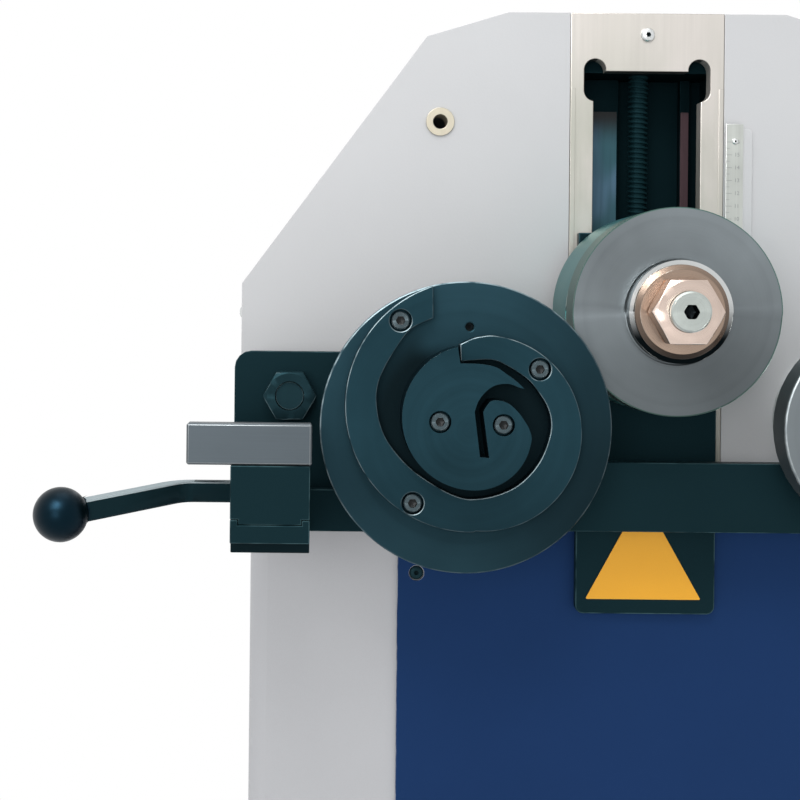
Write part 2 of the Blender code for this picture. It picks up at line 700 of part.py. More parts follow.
def build_slide_way():
    """The nickel channel in the head, the way behind it, the spindle's block and the ruler."""
    half = CHANNEL_WIDTH / 2
    slot = SLOT_WIDTH / 2
    bottom = CHANNEL_BOTTOM_Z + GAP
    relief_x = slot - RELIEF_INSET
    relief_low = SLOT_TOP_Z + RELIEF_RISE - RELIEF_HEIGHT + RELIEF_RADIUS
    relief_high = SLOT_TOP_Z + RELIEF_RISE - RELIEF_RADIUS
    reach = math.degrees(math.acos(RELIEF_INSET / RELIEF_RADIUS))
    shoulder = math.degrees(math.asin((SLOT_TOP_Z - relief_high) / RELIEF_RADIUS))
    left_relief = (
        arc(-relief_x, relief_low, RELIEF_RADIUS, -180 + reach, -180, 5)
        + arc(-relief_x, relief_high, RELIEF_RADIUS, 180, shoulder, 8)
    )
    left = [(-slot, bottom)] + left_relief
    edge = [(-half, bottom), (-half, HEAD_TOP_Z), (half, HEAD_TOP_Z), (half, bottom)]
    plate_between("slide_channel", [edge + list(reversed(left + mirrored(left)))],
                  -CHANNEL_THICKNESS, 0, NICKEL)
    back = CHANNEL_THICKNESS + GAP + WAY_DEPTH
    pocket = back - WAY_BACK
    pad = pocket - WAY_PAD
    inner = half - WAY_WALL
    left_pad = -inner + WAY_LEFT_PAD_START
    right_pad = inner - WAY_RIGHT_PAD_START
    plan = [
        (-half, -CHANNEL_THICKNESS - GAP), (-half, -back), (half, -back), (half, -CHANNEL_THICKNESS - GAP),
        (inner, -CHANNEL_THICKNESS - GAP), (inner, -pocket), (right_pad, -pocket), (right_pad, -pad),
        (right_pad - WAY_RIGHT_PAD_WIDTH, -pad), (right_pad - WAY_RIGHT_PAD_WIDTH, -pocket),
        (left_pad + WAY_LEFT_PAD_WIDTH, -pocket), (left_pad + WAY_LEFT_PAD_WIDTH, -pad), (left_pad, -pad),
        (left_pad, -pocket), (-inner, -pocket), (-inner, -CHANNEL_THICKNESS - GAP),
    ]
    height = SLOT_TOP_Z + GAP - bottom
    flat_outline("slide_way", [[(x, -forward) for x, forward in plan]], height, BLACK_OXIDE,
                 (0, FACE_Y, bottom + height / 2), UPRIGHT)
    block_bottom = SLOT_TOP_Z + 2 * GAP
    flat_outline(
        "spindle_block",
        [rectangle(-half, CHANNEL_THICKNESS + GAP, half, back),
         circle(SPINDLE_RADIUS + RUNNING, 0, SPINDLE_DEPTH)],
        SPINDLE_BLOCK_HEIGHT, DARK_PAINT, (0, FACE_Y, block_bottom + SPINDLE_BLOCK_HEIGHT / 2), UPRIGHT,
    )
    ruler_top = TOP_AXIS_Z + RULER_TOP_RISE
    ruler_left = half + RULER_GAP
    plate_between(
        "ruler_strip",
        [rounded(ruler_left, ruler_top - RULER_LENGTH, ruler_left + STRIP_WIDTH, ruler_top - STRIP_TOP_DROP,
                 STRIP_CORNER)],
        GAP, GAP + STRIP_THICKNESS, LIGHT_PAINT,
    )
    plate_between(
        "ruler",
        [rectangle(ruler_left, ruler_top - RULER_LENGTH, ruler_left + RULER_WIDTH, ruler_top)],
        2 * GAP + STRIP_THICKNESS, 2 * GAP + STRIP_THICKNESS + RULER_THICKNESS, BRIGHT_STEEL,
    )


def build_carriage():
    """The block that slides in the way, its face plate, the fixed axle and what holds the roller on."""
    slot = SLOT_WIDTH / 2 - RUNNING
    inner = CHANNEL_WIDTH / 2 - WAY_WALL - RUNNING
    neck_front = FACE_PLATE_CLEARANCE - GAP
    wing_front = -CHANNEL_THICKNESS - 2 * GAP
    wing_back = wing_front - BODY_DEPTH
    bottom = TOP_AXIS_Z - BODY_BOTTOM_DROP
    top = TOP_AXIS_Z + BODY_TOP_RISE
    body = span_block("carriage_block", (-inner, inner), (wing_back, wing_front), (bottom, top), DARK_PAINT)
    cut(body, as_cutter(span_block(
        "carriage_neck", (-slot, slot), ((wing_front + wing_back) / 2, neck_front), (bottom, top), None,
        group=cutters,
    )), "UNION")
    cut(body, round_cutter(
        "spindle_bore", SPINDLE_RADIUS + RUNNING, top - bottom + OVERRUN,
        (0, ahead(-SPINDLE_DEPTH), (top + bottom) / 2), UPRIGHT,
    ))
    bore = SHAFT_RADIUS + RUNNING
    tail = AXLE_TAIL + GAP
    cut(body, round_cutter(
        "axle_bore", bore, tail + OVERRUN, (0, ahead((OVERRUN - tail) / 2), TOP_AXIS_Z), sides=32,
    ))
    half = FACE_PLATE_WIDTH / 2
    low = -FACE_PLATE_DROP
    edge = (
        [(half, BODY_TOP_RISE), (-half, BODY_TOP_RISE)]
        + arc(-half + FACE_PLATE_CORNER, low + FACE_PLATE_CORNER, FACE_PLATE_CORNER, 180, 270, 4)
        + arc(half - FACE_PLATE_CORNER, low + FACE_PLATE_CORNER, FACE_PLATE_CORNER, 270, 360, 4)
    )
    plate_back = FACE_PLATE_CLEARANCE
    plate_front = plate_back + FACE_PLATE_THICKNESS
    plate_between("carriage_face", [edge, circle(bore, sides=32)], plate_back, plate_front,
                  DARK_PAINT, z=TOP_AXIS_Z)
    axis = (0, FACE_Y, TOP_AXIS_Z)
    shaft_with_thread("top_axle", -AXLE_TAIL, COLLAR_FRONT, axis)
    washer = ring_profile(
        THREAD_RADIUS + RUNNING, WASHER_RADIUS, COLLAR_FRONT + GAP, WASHER_FRONT, ROLLER_CHAMFER
    )
    turned("top_washer", washer, BRONZE_NICKEL, axis, ring=True)
    shaft_nut("top_nut", axis)


def shaft_with_thread(name, back, shoulder, axis):
    """A shaft that steps down to a threaded end with a key socket."""
    shaft = turned(
        name,
        [(0, SHAFT_FRONT), (THREAD_RADIUS - ROLLER_CHAMFER, SHAFT_FRONT),
         (THREAD_RADIUS, SHAFT_FRONT - ROLLER_CHAMFER), (THREAD_RADIUS, shoulder), (SHAFT_RADIUS, shoulder),
         (SHAFT_RADIUS, back), (0, back)],
        BRIGHT_STEEL, axis, sides=32,
    )
    cut(shaft, meshed_cutter(flat_outline(
        name + "_socket", [hexagon(KEY_SOCKET_FLATS)], KEY_SOCKET_DEPTH + OVERRUN, None,
        (axis[0], ahead(SHAFT_FRONT + (OVERRUN - KEY_SOCKET_DEPTH) / 2), axis[2]), group=cutters,
    )))


def meshed_cutter(thing):
    """A flat outline that cuts, as a welded mesh."""
    return as_cutter(meshed(thing))


def shaft_nut(name, axis):
    """A hexagon nut on a shaft's thread."""
    middle = (axis[0], ahead((WASHER_FRONT + GAP + NUT_FRONT) / 2), axis[2])
    flat_outline(name, [hexagon(NUT_FLATS), circle(THREAD_RADIUS + RUNNING)], NUT_THICKNESS,
                 BRONZE_NICKEL, middle)


def build_top_roller():
    """The turning sleeve with its flange and the two hardened rings on it."""
    axis = (0, FACE_Y, TOP_AXIS_Z)
    bore = SHAFT_RADIUS + RUNNING
    back = FACE_PLATE_CLEARANCE + FACE_PLATE_THICKNESS + RUNNING
    collar_front = COLLAR_FRONT - RUNNING
    turned(
        "top_sleeve",
        [(COLLAR_RADIUS - ROLLER_CHAMFER, collar_front), (COLLAR_RADIUS, collar_front - ROLLER_CHAMFER),
         (COLLAR_RADIUS, ROLLER_FRONT + GAP), (SLEEVE_RADIUS, ROLLER_FRONT + GAP), (SLEEVE_RADIUS, back),
         (bore, back), (bore, collar_front)],
        BLACK_OXIDE, axis, sides=40, ring=True,
    )
    joint = ROLLER_FRONT - FRONT_RING_WIDTH
    ring_bore = SLEEVE_RADIUS + GAP
    for name, ring_back, ring_front in (
        ("top_rear_ring", ROLLER_BACK, joint - RING_JOINT), ("top_front_ring", joint, ROLLER_FRONT)
    ):
        section = ring_profile(ring_bore, ROLLER_RADIUS, ring_back, ring_front, ROLLER_CHAMFER)
        turned(name, section, GROUND_STEEL, axis, ring=True)


def build_spindle():
    """The screw that raises and lowers the carriage, with its thrust collar and key end."""
    collar_bottom = SLOT_TOP_Z + 2 * GAP + SPINDLE_BLOCK_HEIGHT + RUNNING
    collar_top = collar_bottom + SPINDLE_COLLAR_HEIGHT
    top = HEAD_TOP_Z - SPINDLE_TOP_CLEARANCE
    bottom = TOP_AXIS_Z + BODY_TOP_RISE - SPINDLE_ENGAGEMENT
    key = SPINDLE_HEX / 2
    turned(
        "lift_spindle",
        [(0, top), (key, top), (key, collar_top), (SPINDLE_COLLAR_RADIUS, collar_top),
         (SPINDLE_COLLAR_RADIUS, collar_bottom), (SPINDLE_RADIUS, collar_bottom), (SPINDLE_RADIUS, bottom),
         (0, bottom)],
        DARK_PAINT, (0, ahead(-SPINDLE_DEPTH), 0), UPRIGHT, sides=20,
    )


def tooth_points(teeth, phase):
    """Outline of a spur gear with involute flanks; one tooth is centred on the phase angle."""
    pitch = TOOTH_MODULE * teeth / 2
    base = pitch * math.cos(PRESSURE_ANGLE)
    tip = pitch + TOOTH_MODULE * ADDENDUM_SHARE
    root = pitch - TOOTH_MODULE * DEDENDUM_SHARE
    half_tooth = math.pi / (2 * teeth) - TOOTH_BACKLASH_SHARE * 2 * math.pi / teeth

    def roll(angle):
        return math.tan(angle) - angle

    def half_angle(radius):
        if radius <= base:
            return half_tooth + roll(PRESSURE_ANGLE)
        return half_tooth + roll(PRESSURE_ANGLE) - roll(math.acos(base / radius))

    radii = [root, pitch, tip]
    points = []
    for i in range(teeth):
        middle = phase + 2 * math.pi * i / teeth
        flank = [(radius, half_angle(radius)) for radius in radii]
        for radius, angle in flank:
            points.append((radius * math.cos(middle - angle), radius * math.sin(middle - angle)))
        for radius, angle in reversed(flank):
            points.append((radius * math.cos(middle + angle), radius * math.sin(middle + angle)))
    return points


def meshing_phase(direction, phase, teeth, other_teeth):
    """Phase of a gear that meshes with one of this phase, which lies against this direction."""
    pitch = 2 * math.pi / teeth
    first_gap = phase + pitch / 2
    offset = (first_gap - direction + pitch / 2) % pitch - pitch / 2
    return direction + math.pi - offset * teeth / other_teeth


def build_drive():
    """Two driven gears, the pinion between them, the gearbox, its motor and the hood over them."""
    back = -GEAR_BACK
    front = back + GEAR_WIDTH
    bore = SHAFT_RADIUS + GAP
    pinion_phase = 0.0
    left_direction = math.pi + MESH_ANGLE
    right_direction = -MESH_ANGLE
    for name, x, direction in (
        ("left_gear", -LOWER_AXIS_X, left_direction), ("right_gear", LOWER_AXIS_X, right_direction)
    ):
        phase = meshing_phase(direction, pinion_phase, PINION_TEETH, GEAR_TEETH)
        plate_between(name, [tooth_points(GEAR_TEETH, phase), circle(bore, sides=32)], back, front,
                      GROUND_STEEL, x, LOWER_AXIS_Z)
    pinion = meshed(plate_between("drive_pinion", [tooth_points(PINION_TEETH, pinion_phase)], back, front,
                                  GROUND_STEEL, 0, PINION_Z))
    shaft_back = -HEAD_DEPTH - GEARBOX_SOCKET + GAP
    shaft_front = front + PINION_NOSE
    cut(pinion, round_cutter(
        "pinion_shaft", PINION_SHAFT_RADIUS, shaft_front - shaft_back,
        (0, ahead((shaft_front + shaft_back) / 2), PINION_Z), sides=32,
    ), "UNION")
    box_front = -HEAD_DEPTH - GAP
    box_back = box_front - GEARBOX_DEPTH
    box_bottom = PINION_Z - GEARBOX_HEIGHT / 2
    gearbox = span_block(
        "gearbox", (-GEARBOX_WIDTH / 2, GEARBOX_WIDTH / 2), (box_back, box_front),
        (box_bottom, box_bottom + GEARBOX_HEIGHT), DARK_PAINT, BOX_BEVEL,
    )
    cut(gearbox, round_cutter(
        "gearbox_bore", PINION_SHAFT_RADIUS + RUNNING, 2 * GEARBOX_SOCKET,
        (0, ahead(-HEAD_DEPTH), PINION_Z), sides=32,
    ))
    top = box_bottom - GAP
    turned(
        "gear_motor",
        [(0, 0), (MOTOR_FLANGE_RADIUS, 0), (MOTOR_FLANGE_RADIUS, -MOTOR_FLANGE),
         (MOTOR_RADIUS, -MOTOR_FLANGE),
         (MOTOR_RADIUS, -MOTOR_LENGTH), (0, -MOTOR_LENGTH)],
        BLUE_PAINT, (0, ahead((box_front + box_back) / 2), top), UPRIGHT, sides=32,
    )
    half = GEARBOX_WIDTH / 2 + HOOD_SIDE_ROOM
    hood_back = box_back - HOOD_BACK_ROOM
    hood_top = box_bottom + GEARBOX_HEIGHT + HOOD_HEADROOM
    hood = span_block(
        "drive_hood", (-half, half), (hood_back, box_front), (HEAD_BOTTOM_Z, hood_top), COLUMN_PAINT
    )
    cut(hood, as_cutter(span_block(
        "hood_inside", (-half + SHEET, half - SHEET), (hood_back + SHEET, box_front + OVERRUN),
        (HEAD_BOTTOM_Z - OVERRUN, hood_top - SHEET), None, group=cutters,
    )))


def build_lower_shafts():
    """Flanged bearings, both driven shafts, their spacers and the right roller with its nut."""
    bore = SHAFT_RADIUS + RUNNING
    tail = -HEAD_DEPTH - SHAFT_TAIL
    spacer_back = BEARING_FLANGE + RUNNING
    for side, name in ((-1, "left"), (1, "right")):
        axis = (side * LOWER_AXIS_X, FACE_Y, LOWER_AXIS_Z)
        turned(
            name + "_bearing",
            [(BEARING_FLANGE_RADIUS - ROLLER_CHAMFER, BEARING_FLANGE),
             (BEARING_FLANGE_RADIUS, BEARING_FLANGE - ROLLER_CHAMFER), (BEARING_FLANGE_RADIUS, GAP),
             (BEARING_RADIUS, GAP), (BEARING_RADIUS, -PLATE_THICKNESS), (bore, -PLATE_THICKNESS),
             (bore, BEARING_FLANGE)],
            BRIGHT_STEEL, axis, sides=40, ring=True,
        )
    left_axis = (-LOWER_AXIS_X, FACE_Y, LOWER_AXIS_Z)
    right_axis = (LOWER_AXIS_X, FACE_Y, LOWER_AXIS_Z)
    shaft_end = DISC_BACK - GAP
    turned("left_shaft", rod_profile(SHAFT_RADIUS, tail, shaft_end), BRIGHT_STEEL, left_axis, sides=32)
    ring_back = ROLLER_FRONT - FRONT_RING_WIDTH
    for name, axis, spacer_front in (
        ("left_spacer", left_axis, shaft_end), ("right_spacer", right_axis, ring_back - GAP)
    ):
        section = ring_profile(bore, SPACER_RADIUS, spacer_back, spacer_front)
        turned(name, section, BLACK_OXIDE, axis, sides=32, ring=True)
    shaft_with_thread("right_shaft", tail, COLLAR_FRONT, right_axis)
    section = ring_profile(bore, ROLLER_RADIUS, ring_back, ROLLER_FRONT, ROLLER_CHAMFER)
    turned("right_roller", section, GROUND_STEEL, right_axis, ring=True)
    turned(
        "right_collar",
        [(WASHER_RADIUS, WASHER_FRONT), (WASHER_RADIUS, COLLAR_FRONT + GAP),
         (COLLAR_RADIUS, COLLAR_FRONT + GAP), (COLLAR_RADIUS, ROLLER_FRONT + GAP),
         (bore, ROLLER_FRONT + GAP), (bore, COLLAR_FRONT + GAP),
         (THREAD_RADIUS + RUNNING, COLLAR_FRONT + GAP), (THREAD_RADIUS + RUNNING, WASHER_FRONT)],
        BRONZE_NICKEL, right_axis, sides=40, ring=True,
    )
    shaft_nut("right_nut", right_axis)


def shares(points):
    """Points given as shares of the disc radius, in metres."""
    return [(x * DISC_RADIUS, y * DISC_RADIUS) for x, y in points]


def share_arc(arc_shares, angles, steps):
    """An arc whose centre and radius are shares of the disc radius."""
    x, y, radius = (share * DISC_RADIUS for share in arc_shares)
    return arc(x, y, radius, angles[0], angles[1], steps)


def arm_outline():
    """The spiral arm: out along two arcs and back along its smooth inner edge."""
    first_arc = share_arc(ARM_FIRST_ARC_SHARES, ARM_FIRST_ARC_ANGLES, 22)
    second_arc = share_arc(ARM_SECOND_ARC_SHARES, ARM_SECOND_ARC_ANGLES, 24)
    start = smooth_run(shares(ARM_START_SHARES) + first_arc[:1], 2)
    return start[:-1] + first_arc + second_arc + smooth_run(shares(ARM_INNER_SHARES), 2)


def hub_outline():
    """The hub: round outside, with the horn and the slot that grips the bar's end."""
    outline = smooth_run(shares(HUB_HORN_SHARES), 2)
    outline += smooth_run(shares(HUB_CURL_SHARES), 2)
    outline += shares(HUB_SLOT_END_SHARES)
    outline += smooth_run(shares(HUB_NOSE_SHARES), 2)
    outline += share_arc(HUB_RIGHT_ARC_SHARES, HUB_RIGHT_ARC_ANGLES, 10)
    return outline + share_arc(HUB_LEFT_ARC_SHARES, HUB_LEFT_ARC_ANGLES, 20)


def former_screw(name, x, z, front):
    """A socket-head screw that goes through its plate into the disc."""
    back = DISC_BACK + GAP
    head_back = front - COUNTERBORE_DEPTH + GAP
    head_front = head_back + SCREW_HEAD_HEIGHT
    chamfer = ROLLER_CHAMFER / 2
    screw = turned(
        name,
        [(0, head_front), (SCREW_HEAD_RADIUS - chamfer, head_front),
         (SCREW_HEAD_RADIUS, head_front - chamfer), (SCREW_HEAD_RADIUS, head_back),
         (SCREW_SHANK_RADIUS, head_back), (SCREW_SHANK_RADIUS, back), (0, back)],
        BLACK_OXIDE, (x, FACE_Y, z), sides=12,
    )
    socket = meshed_cutter(flat_outline(
        name + "_socket", [hexagon(SCREW_SOCKET_FLATS)], SCREW_SOCKET_DEPTH + OVERRUN, None,
        (x, ahead(head_front + (OVERRUN - SCREW_SOCKET_DEPTH) / 2), z), group=cutters,
    ))
    cut(screw, socket)


def build_former():
    """The scroll former on the left shaft: disc, spiral arm, hub and their screws."""
    x = -LOWER_AXIS_X
    z = LOWER_AXIS_Z
    hole = SCREW_SHANK_RADIUS + SHANK_CLEARANCE
    arm_screws = shares(ARM_SCREW_SHARES)
    hub_screws = shares(HUB_SCREW_SHARES)
    disc_holes = [circle(hole, px, pz, 12) for px, pz in arm_screws + hub_screws]
    disc_holes.append(circle(PIN_HOLE_RADIUS, PIN_HOLE_X, PIN_HOLE_RISE, 16))
    plate_between("former_disc", [circle(DISC_RADIUS, sides=64)] + disc_holes, DISC_BACK, DISC_FRONT,
                  BLACK_OXIDE, x, z)
    plate_back = DISC_FRONT + GAP
    for name, outline, front, screws in (
        ("former_arm", arm_outline(), ARM_FRONT, arm_screws),
        ("former_hub", hub_outline(), HUB_FRONT, hub_screws),
    ):
        holes = [circle(hole, px, pz, 12) for px, pz in screws]
        plate = meshed(plate_between(name, [outline] + holes, plate_back, front, BLACK_OXIDE, x, z))
        for i, (px, pz) in enumerate(screws):
            cut(plate, round_cutter(
                f"{name}_counterbore_{i + 1}", COUNTERBORE_RADIUS, COUNTERBORE_DEPTH + OVERRUN,
                (x + px, ahead(front + (OVERRUN - COUNTERBORE_DEPTH) / 2), z + pz),
            ))
            former_screw(f"{name}_screw_{i + 1}", x + px, z + pz, front)


def build_attachment():
    """The beam across the machine's front, on two shouldered studs with nuts."""
    bottom = LOWER_AXIS_Z - BEAM_BOTTOM_DROP
    bar_top = LOWER_AXIS_Z - BEAM_TOP_DROP
    tower_top = LOWER_AXIS_Z + TOWER_TOP_RISE
    left = BEAM_LEFT_X
    inner = left + TOWER_WIDTH
    half = (
        [(left, bottom)]
        + arc(left + TOWER_CORNER, tower_top - TOWER_CORNER, TOWER_CORNER, 180, 90, 4)
        + arc(inner - TOWER_CORNER, tower_top - TOWER_CORNER, TOWER_CORNER, 90, 0, 4)
        + [(inner, bar_top)]
    )
    stud_z = LOWER_AXIS_Z + STUD_RISE
    holes = [circle(STUD_RADIUS + GAP, side * STUD_X, stud_z) for side in (-1, 1)]
    plate_between("scroll_beam", [half + mirrored(half)] + holes, BEAM_BACK, BEAM_FRONT, DARK_PAINT)
    nut_back = BEAM_FRONT + GAP
    nut_front = nut_back + STUD_NUT_THICKNESS
    stud_front = nut_front - STUD_END_DROP
    for side, name in ((-1, "left"), (1, "right")):
        turned(
            name + "_stud",
            [(0, stud_front), (STUD_RADIUS, stud_front), (STUD_RADIUS, BEAM_BACK - GAP),
             (STUD_SHOULDER_RADIUS, BEAM_BACK - GAP), (STUD_SHOULDER_RADIUS, GAP), (STUD_RADIUS, GAP),
             (STUD_RADIUS, -PLATE_THICKNESS), (0, -PLATE_THICKNESS)],
            BLACK_OXIDE, (side * STUD_X, FACE_Y, stud_z), sides=SMALL_SIDES,
        )
        plate_between(name + "_stud_nut",
                      [hexagon(STUD_NUT_FLATS), circle(STUD_RADIUS + GAP)],
                      nut_back, nut_front, BLACK_OXIDE, side * STUD_X, stud_z)


def build_guide():
    """The bar guide: a base on the beam, a slide with its jaw, and the ball lever that locks it."""
    left = GUIDE_LEFT_X
    right = GUIDE_RIGHT_X
    base_top = SLIDE_BOTTOM_Z - GAP
    base_bottom = base_top - GUIDE_BASE_HEIGHT
    groove_bottom = base_top - TONGUE_DROP
    undercut_top = base_bottom + UNDERCUT_HEIGHT
    back = BEAM_FRONT + GAP
    groove = [
        (left, base_bottom), (right, base_bottom), (right, base_top), (right - TONGUE_INSET, base_top),
        (right - TONGUE_INSET, groove_bottom), (left + TONGUE_INSET, groove_bottom),
        (left + TONGUE_INSET, base_top), (left, base_top),
    ]
    base = meshed(plate_between("guide_base", [groove], back, GUIDE_FRONT, DARK_PAINT))
    cut(base, as_cutter(span_block(
        "guide_undercut", (left - OVERRUN, right + OVERRUN),
        (GUIDE_FRONT - UNDERCUT_DEPTH, GUIDE_FRONT + OVERRUN), (base_bottom - OVERRUN, undercut_top),
        None, group=cutters,
    )))
    cut(base, as_cutter(span_block(
        "guide_foot", (right - FOOT_THICKNESS, right + FOOT_WIDTH), (back, back + FOOT_THICKNESS),
        (LOWER_AXIS_Z - BEAM_BOTTOM_DROP, base_top + FOOT_RISE), None, group=cutters,
    )), "UNION")
    slide_top = SLIDE_BOTTOM_Z + SLIDE_HEIGHT
    slide = span_block("guide_slide", (left, right), (GUIDE_SLIDE_BACK, GUIDE_FRONT),
                       (SLIDE_BOTTOM_Z, slide_top), DARK_PAINT)
    tongue_inset = TONGUE_INSET + RUNNING
    cut(slide, as_cutter(span_block(
        "guide_tongue", (left + tongue_inset, right - tongue_inset), (GUIDE_SLIDE_BACK, GUIDE_FRONT),
        (SLIDE_BOTTOM_Z - TONGUE_DROP, SLIDE_BOTTOM_Z + SLIDE_HEIGHT / 2), None, group=cutters,
    )), "UNION")
    cut(slide, round_cutter(
        "lever_bore", LEVER_SHAFT_RADIUS + RUNNING, 2 * LEVER_SOCKET,
        (left, ahead(LEVER_AHEAD), LEVER_Z), (0, math.pi / 2, 0), 20,
    ))
    jaw_top = LOWER_AXIS_Z + JAW_TOP_RISE
    jaw_left = JAW_RIGHT_X - JAW_WIDTH
    jaw_back = GUIDE_FRONT - JAW_DEPTH
    jaw = span_block("guide_jaw", (jaw_left, JAW_RIGHT_X), (jaw_back, GUIDE_FRONT),
                     (jaw_top - JAW_HEIGHT, jaw_top), GROUND_STEEL, JAW_CHAMFER)
    cut(jaw, as_cutter(span_block(
        "jaw_shelf", (jaw_left - OVERRUN, JAW_RIGHT_X + OVERRUN),
        (jaw_back - OVERRUN, GUIDE_FRONT - JAW_LIP), (jaw_top - JAW_SHELF_DROP, jaw_top + OVERRUN),
        None, group=cutters,
    )))
    build_lever(left)


def build_lever(block_left):
    """The bent lever on its cross shaft, with the ball knob at its end; the origin is on the axis."""
    inside = LEVER_SOCKET - GAP
    pivot = Vector((block_left, ahead(LEVER_AHEAD), LEVER_Z))
    knob = Vector((-KNOB_OUT, -KNOB_FORWARD, -KNOB_DROP))
    bend = Vector((-LEVER_STRAIGHT - LEVER_BEND, 0, 0))
    direction = (knob - bend).normalized()
    seat = math.sqrt(KNOB_RADIUS ** 2 - KNOB_SEAT_RADIUS ** 2)
    end = knob - direction * (seat + GAP)
    start = Vector((-LEVER_STRAIGHT, 0, 0))
    turn_end = bend + direction * LEVER_BEND
    route = [Vector((-RUNNING, 0, 0)), start]
    for share in LEVER_BEND_SHARES:
        route.append(start * (1 - share) ** 2 + bend * 2 * share * (1 - share) + turn_end * share ** 2)
    route += [turn_end, end]
    curve = bpy.data.curves.new("clamp_lever", "CURVE")
    curve.dimensions = "3D"
    curve.bevel_depth = LEVER_SHAFT_RADIUS
    curve.bevel_resolution = 2
    curve.use_fill_caps = True
    spline = curve.splines.new("POLY")
    spline.points.add(len(route) - 1)
    for point, spot in zip(spline.points, route):
        point.co = (*spot, 1)
    lever = meshed(place("clamp_lever", curve, None, pivot))
    lever.data.materials.append(BLACK_OXIDE)
    cut(lever, round_cutter(
        "lever_shaft", LEVER_SHAFT_RADIUS, inside + LEVER_STRAIGHT / 2,
        (pivot.x + (inside - LEVER_STRAIGHT / 2) / 2, pivot.y, pivot.z), (0, math.pi / 2, 0), 16,
    ), "UNION")
    start_angle = math.degrees(math.asin(KNOB_SEAT_RADIUS / KNOB_RADIUS))
    profile = [(0, KNOB_RADIUS)]
    for radius, along in arc(0, 0, KNOB_RADIUS, 80, -90 + start_angle, 12):
        profile.append((radius, along))
    profile.append((0, -seat))
    ball = turned("ball_knob", profile, BALL_BLACK, knob, sides=28)
    ball.rotation_mode = "QUATERNION"
    ball.rotation_quaternion = direction.to_track_quat("Z", "Y")
    ball.parent = lever


def build_controls():
    """The switch box on the cabinet's right side with its two buttons."""
    left = CABINET_WIDTH / 2 + GAP
    right = left + BOX_WIDTH
    top = CABINET_HEIGHT - BOX_TOP_DROP
    front = -BOX_AHEAD
    box = span_block("control_box", (left, right), (front - BOX_DEPTH, front), (top - BOX_HEIGHT, top),
                     COLUMN_PAINT, BOX_BEVEL)
    x = (left + right) / 2
    middle = top - BOX_HEIGHT / 2
    stop_z = middle + BUTTON_SPACING / 2
    start_z = middle - BUTTON_SPACING / 2
    for name, radius, z in (("stop_bore", STOP_STEM_RADIUS, stop_z), ("start_bore", START_RADIUS, start_z)):
        cut(box, round_cutter(name, radius + RUNNING, 2 * BUTTON_SOCKET, (x, ahead(front), z)))
    inner = front - BUTTON_SOCKET + BUTTON_TRAVEL + GAP
    stem_front = front + STOP_STEM
    dome = [(STOP_RADIUS * out, stem_front + STOP_HEAD * along) for out, along in STOP_HEAD_SHARES]
    turned("stop_button", dome + [(STOP_STEM_RADIUS, stem_front), (STOP_STEM_RADIUS, inner), (0, inner)],
           STOP_RED, (x, FACE_Y, stop_z), sides=SMALL_SIDES)
    turned("start_button", rod_profile(START_RADIUS, inner, front + START_PROUD), START_GREEN,
           (x, FACE_Y, start_z), sides=SMALL_SIDES)


build_cabinet()
build_head()
build_slide_way()
build_carriage()
build_top_roller()
build_spindle()
build_drive()
build_lower_shafts()
build_former()
build_attachment()
build_guide()
build_controls()
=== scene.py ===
# %% [markdown]
# # How to dress a ring roller
#
# A ring roller curves metal between three rollers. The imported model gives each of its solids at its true
# place, with plain edges and plain colours. This lesson dresses them: eased edges, turned and milled
# surfaces, screws, a real thread, paint, oxide and plating.
#
# A fresh mesh could be modelled for everything, but then it could drift away from the solids that move in
# the simulation. So every piece below starts from a solid's own box or mesh, and rides on its body.

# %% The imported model
import json
import math

import bmesh
import bpy
from mathutils import Matrix, Vector


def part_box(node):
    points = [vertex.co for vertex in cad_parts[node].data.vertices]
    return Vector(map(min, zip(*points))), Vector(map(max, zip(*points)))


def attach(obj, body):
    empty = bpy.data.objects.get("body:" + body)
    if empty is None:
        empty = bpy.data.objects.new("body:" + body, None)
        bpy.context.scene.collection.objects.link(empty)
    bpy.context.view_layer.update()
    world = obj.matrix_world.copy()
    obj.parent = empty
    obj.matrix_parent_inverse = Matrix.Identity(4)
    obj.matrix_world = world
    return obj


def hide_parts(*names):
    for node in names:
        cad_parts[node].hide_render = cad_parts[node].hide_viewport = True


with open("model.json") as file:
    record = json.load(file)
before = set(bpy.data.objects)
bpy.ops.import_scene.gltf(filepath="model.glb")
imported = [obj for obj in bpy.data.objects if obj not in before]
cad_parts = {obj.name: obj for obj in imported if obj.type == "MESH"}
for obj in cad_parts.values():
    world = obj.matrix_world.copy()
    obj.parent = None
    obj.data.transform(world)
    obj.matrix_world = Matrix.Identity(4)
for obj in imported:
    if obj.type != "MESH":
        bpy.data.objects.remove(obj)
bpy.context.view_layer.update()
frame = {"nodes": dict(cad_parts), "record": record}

solids = frame["nodes"]
body_of = {node: body for body, group in frame["record"]["behaviour"]["bodies"].items() for node in group}

# %% [markdown]
# ## Camera
#
# The picture was taken from straight ahead of the scroll former, a little left of the machine's middle. A
# camera that is turned towards the middle would let the head's edges run together. A view camera keeps them
# parallel: it looks straight along +Y and shifts its picture sideways instead. The roll is half a degree,
# as in the photograph.

# %% The camera
PICTURE_SIDE = 800
FOCAL_LENGTH_PIXELS = 1477
AXIS_PIXEL_X = 300
AXIS_PIXEL_Y = 311
CAMERA_PLACE = (-0.2698, -1.405, 1.0313)
CAMERA_ROLL = 0.010

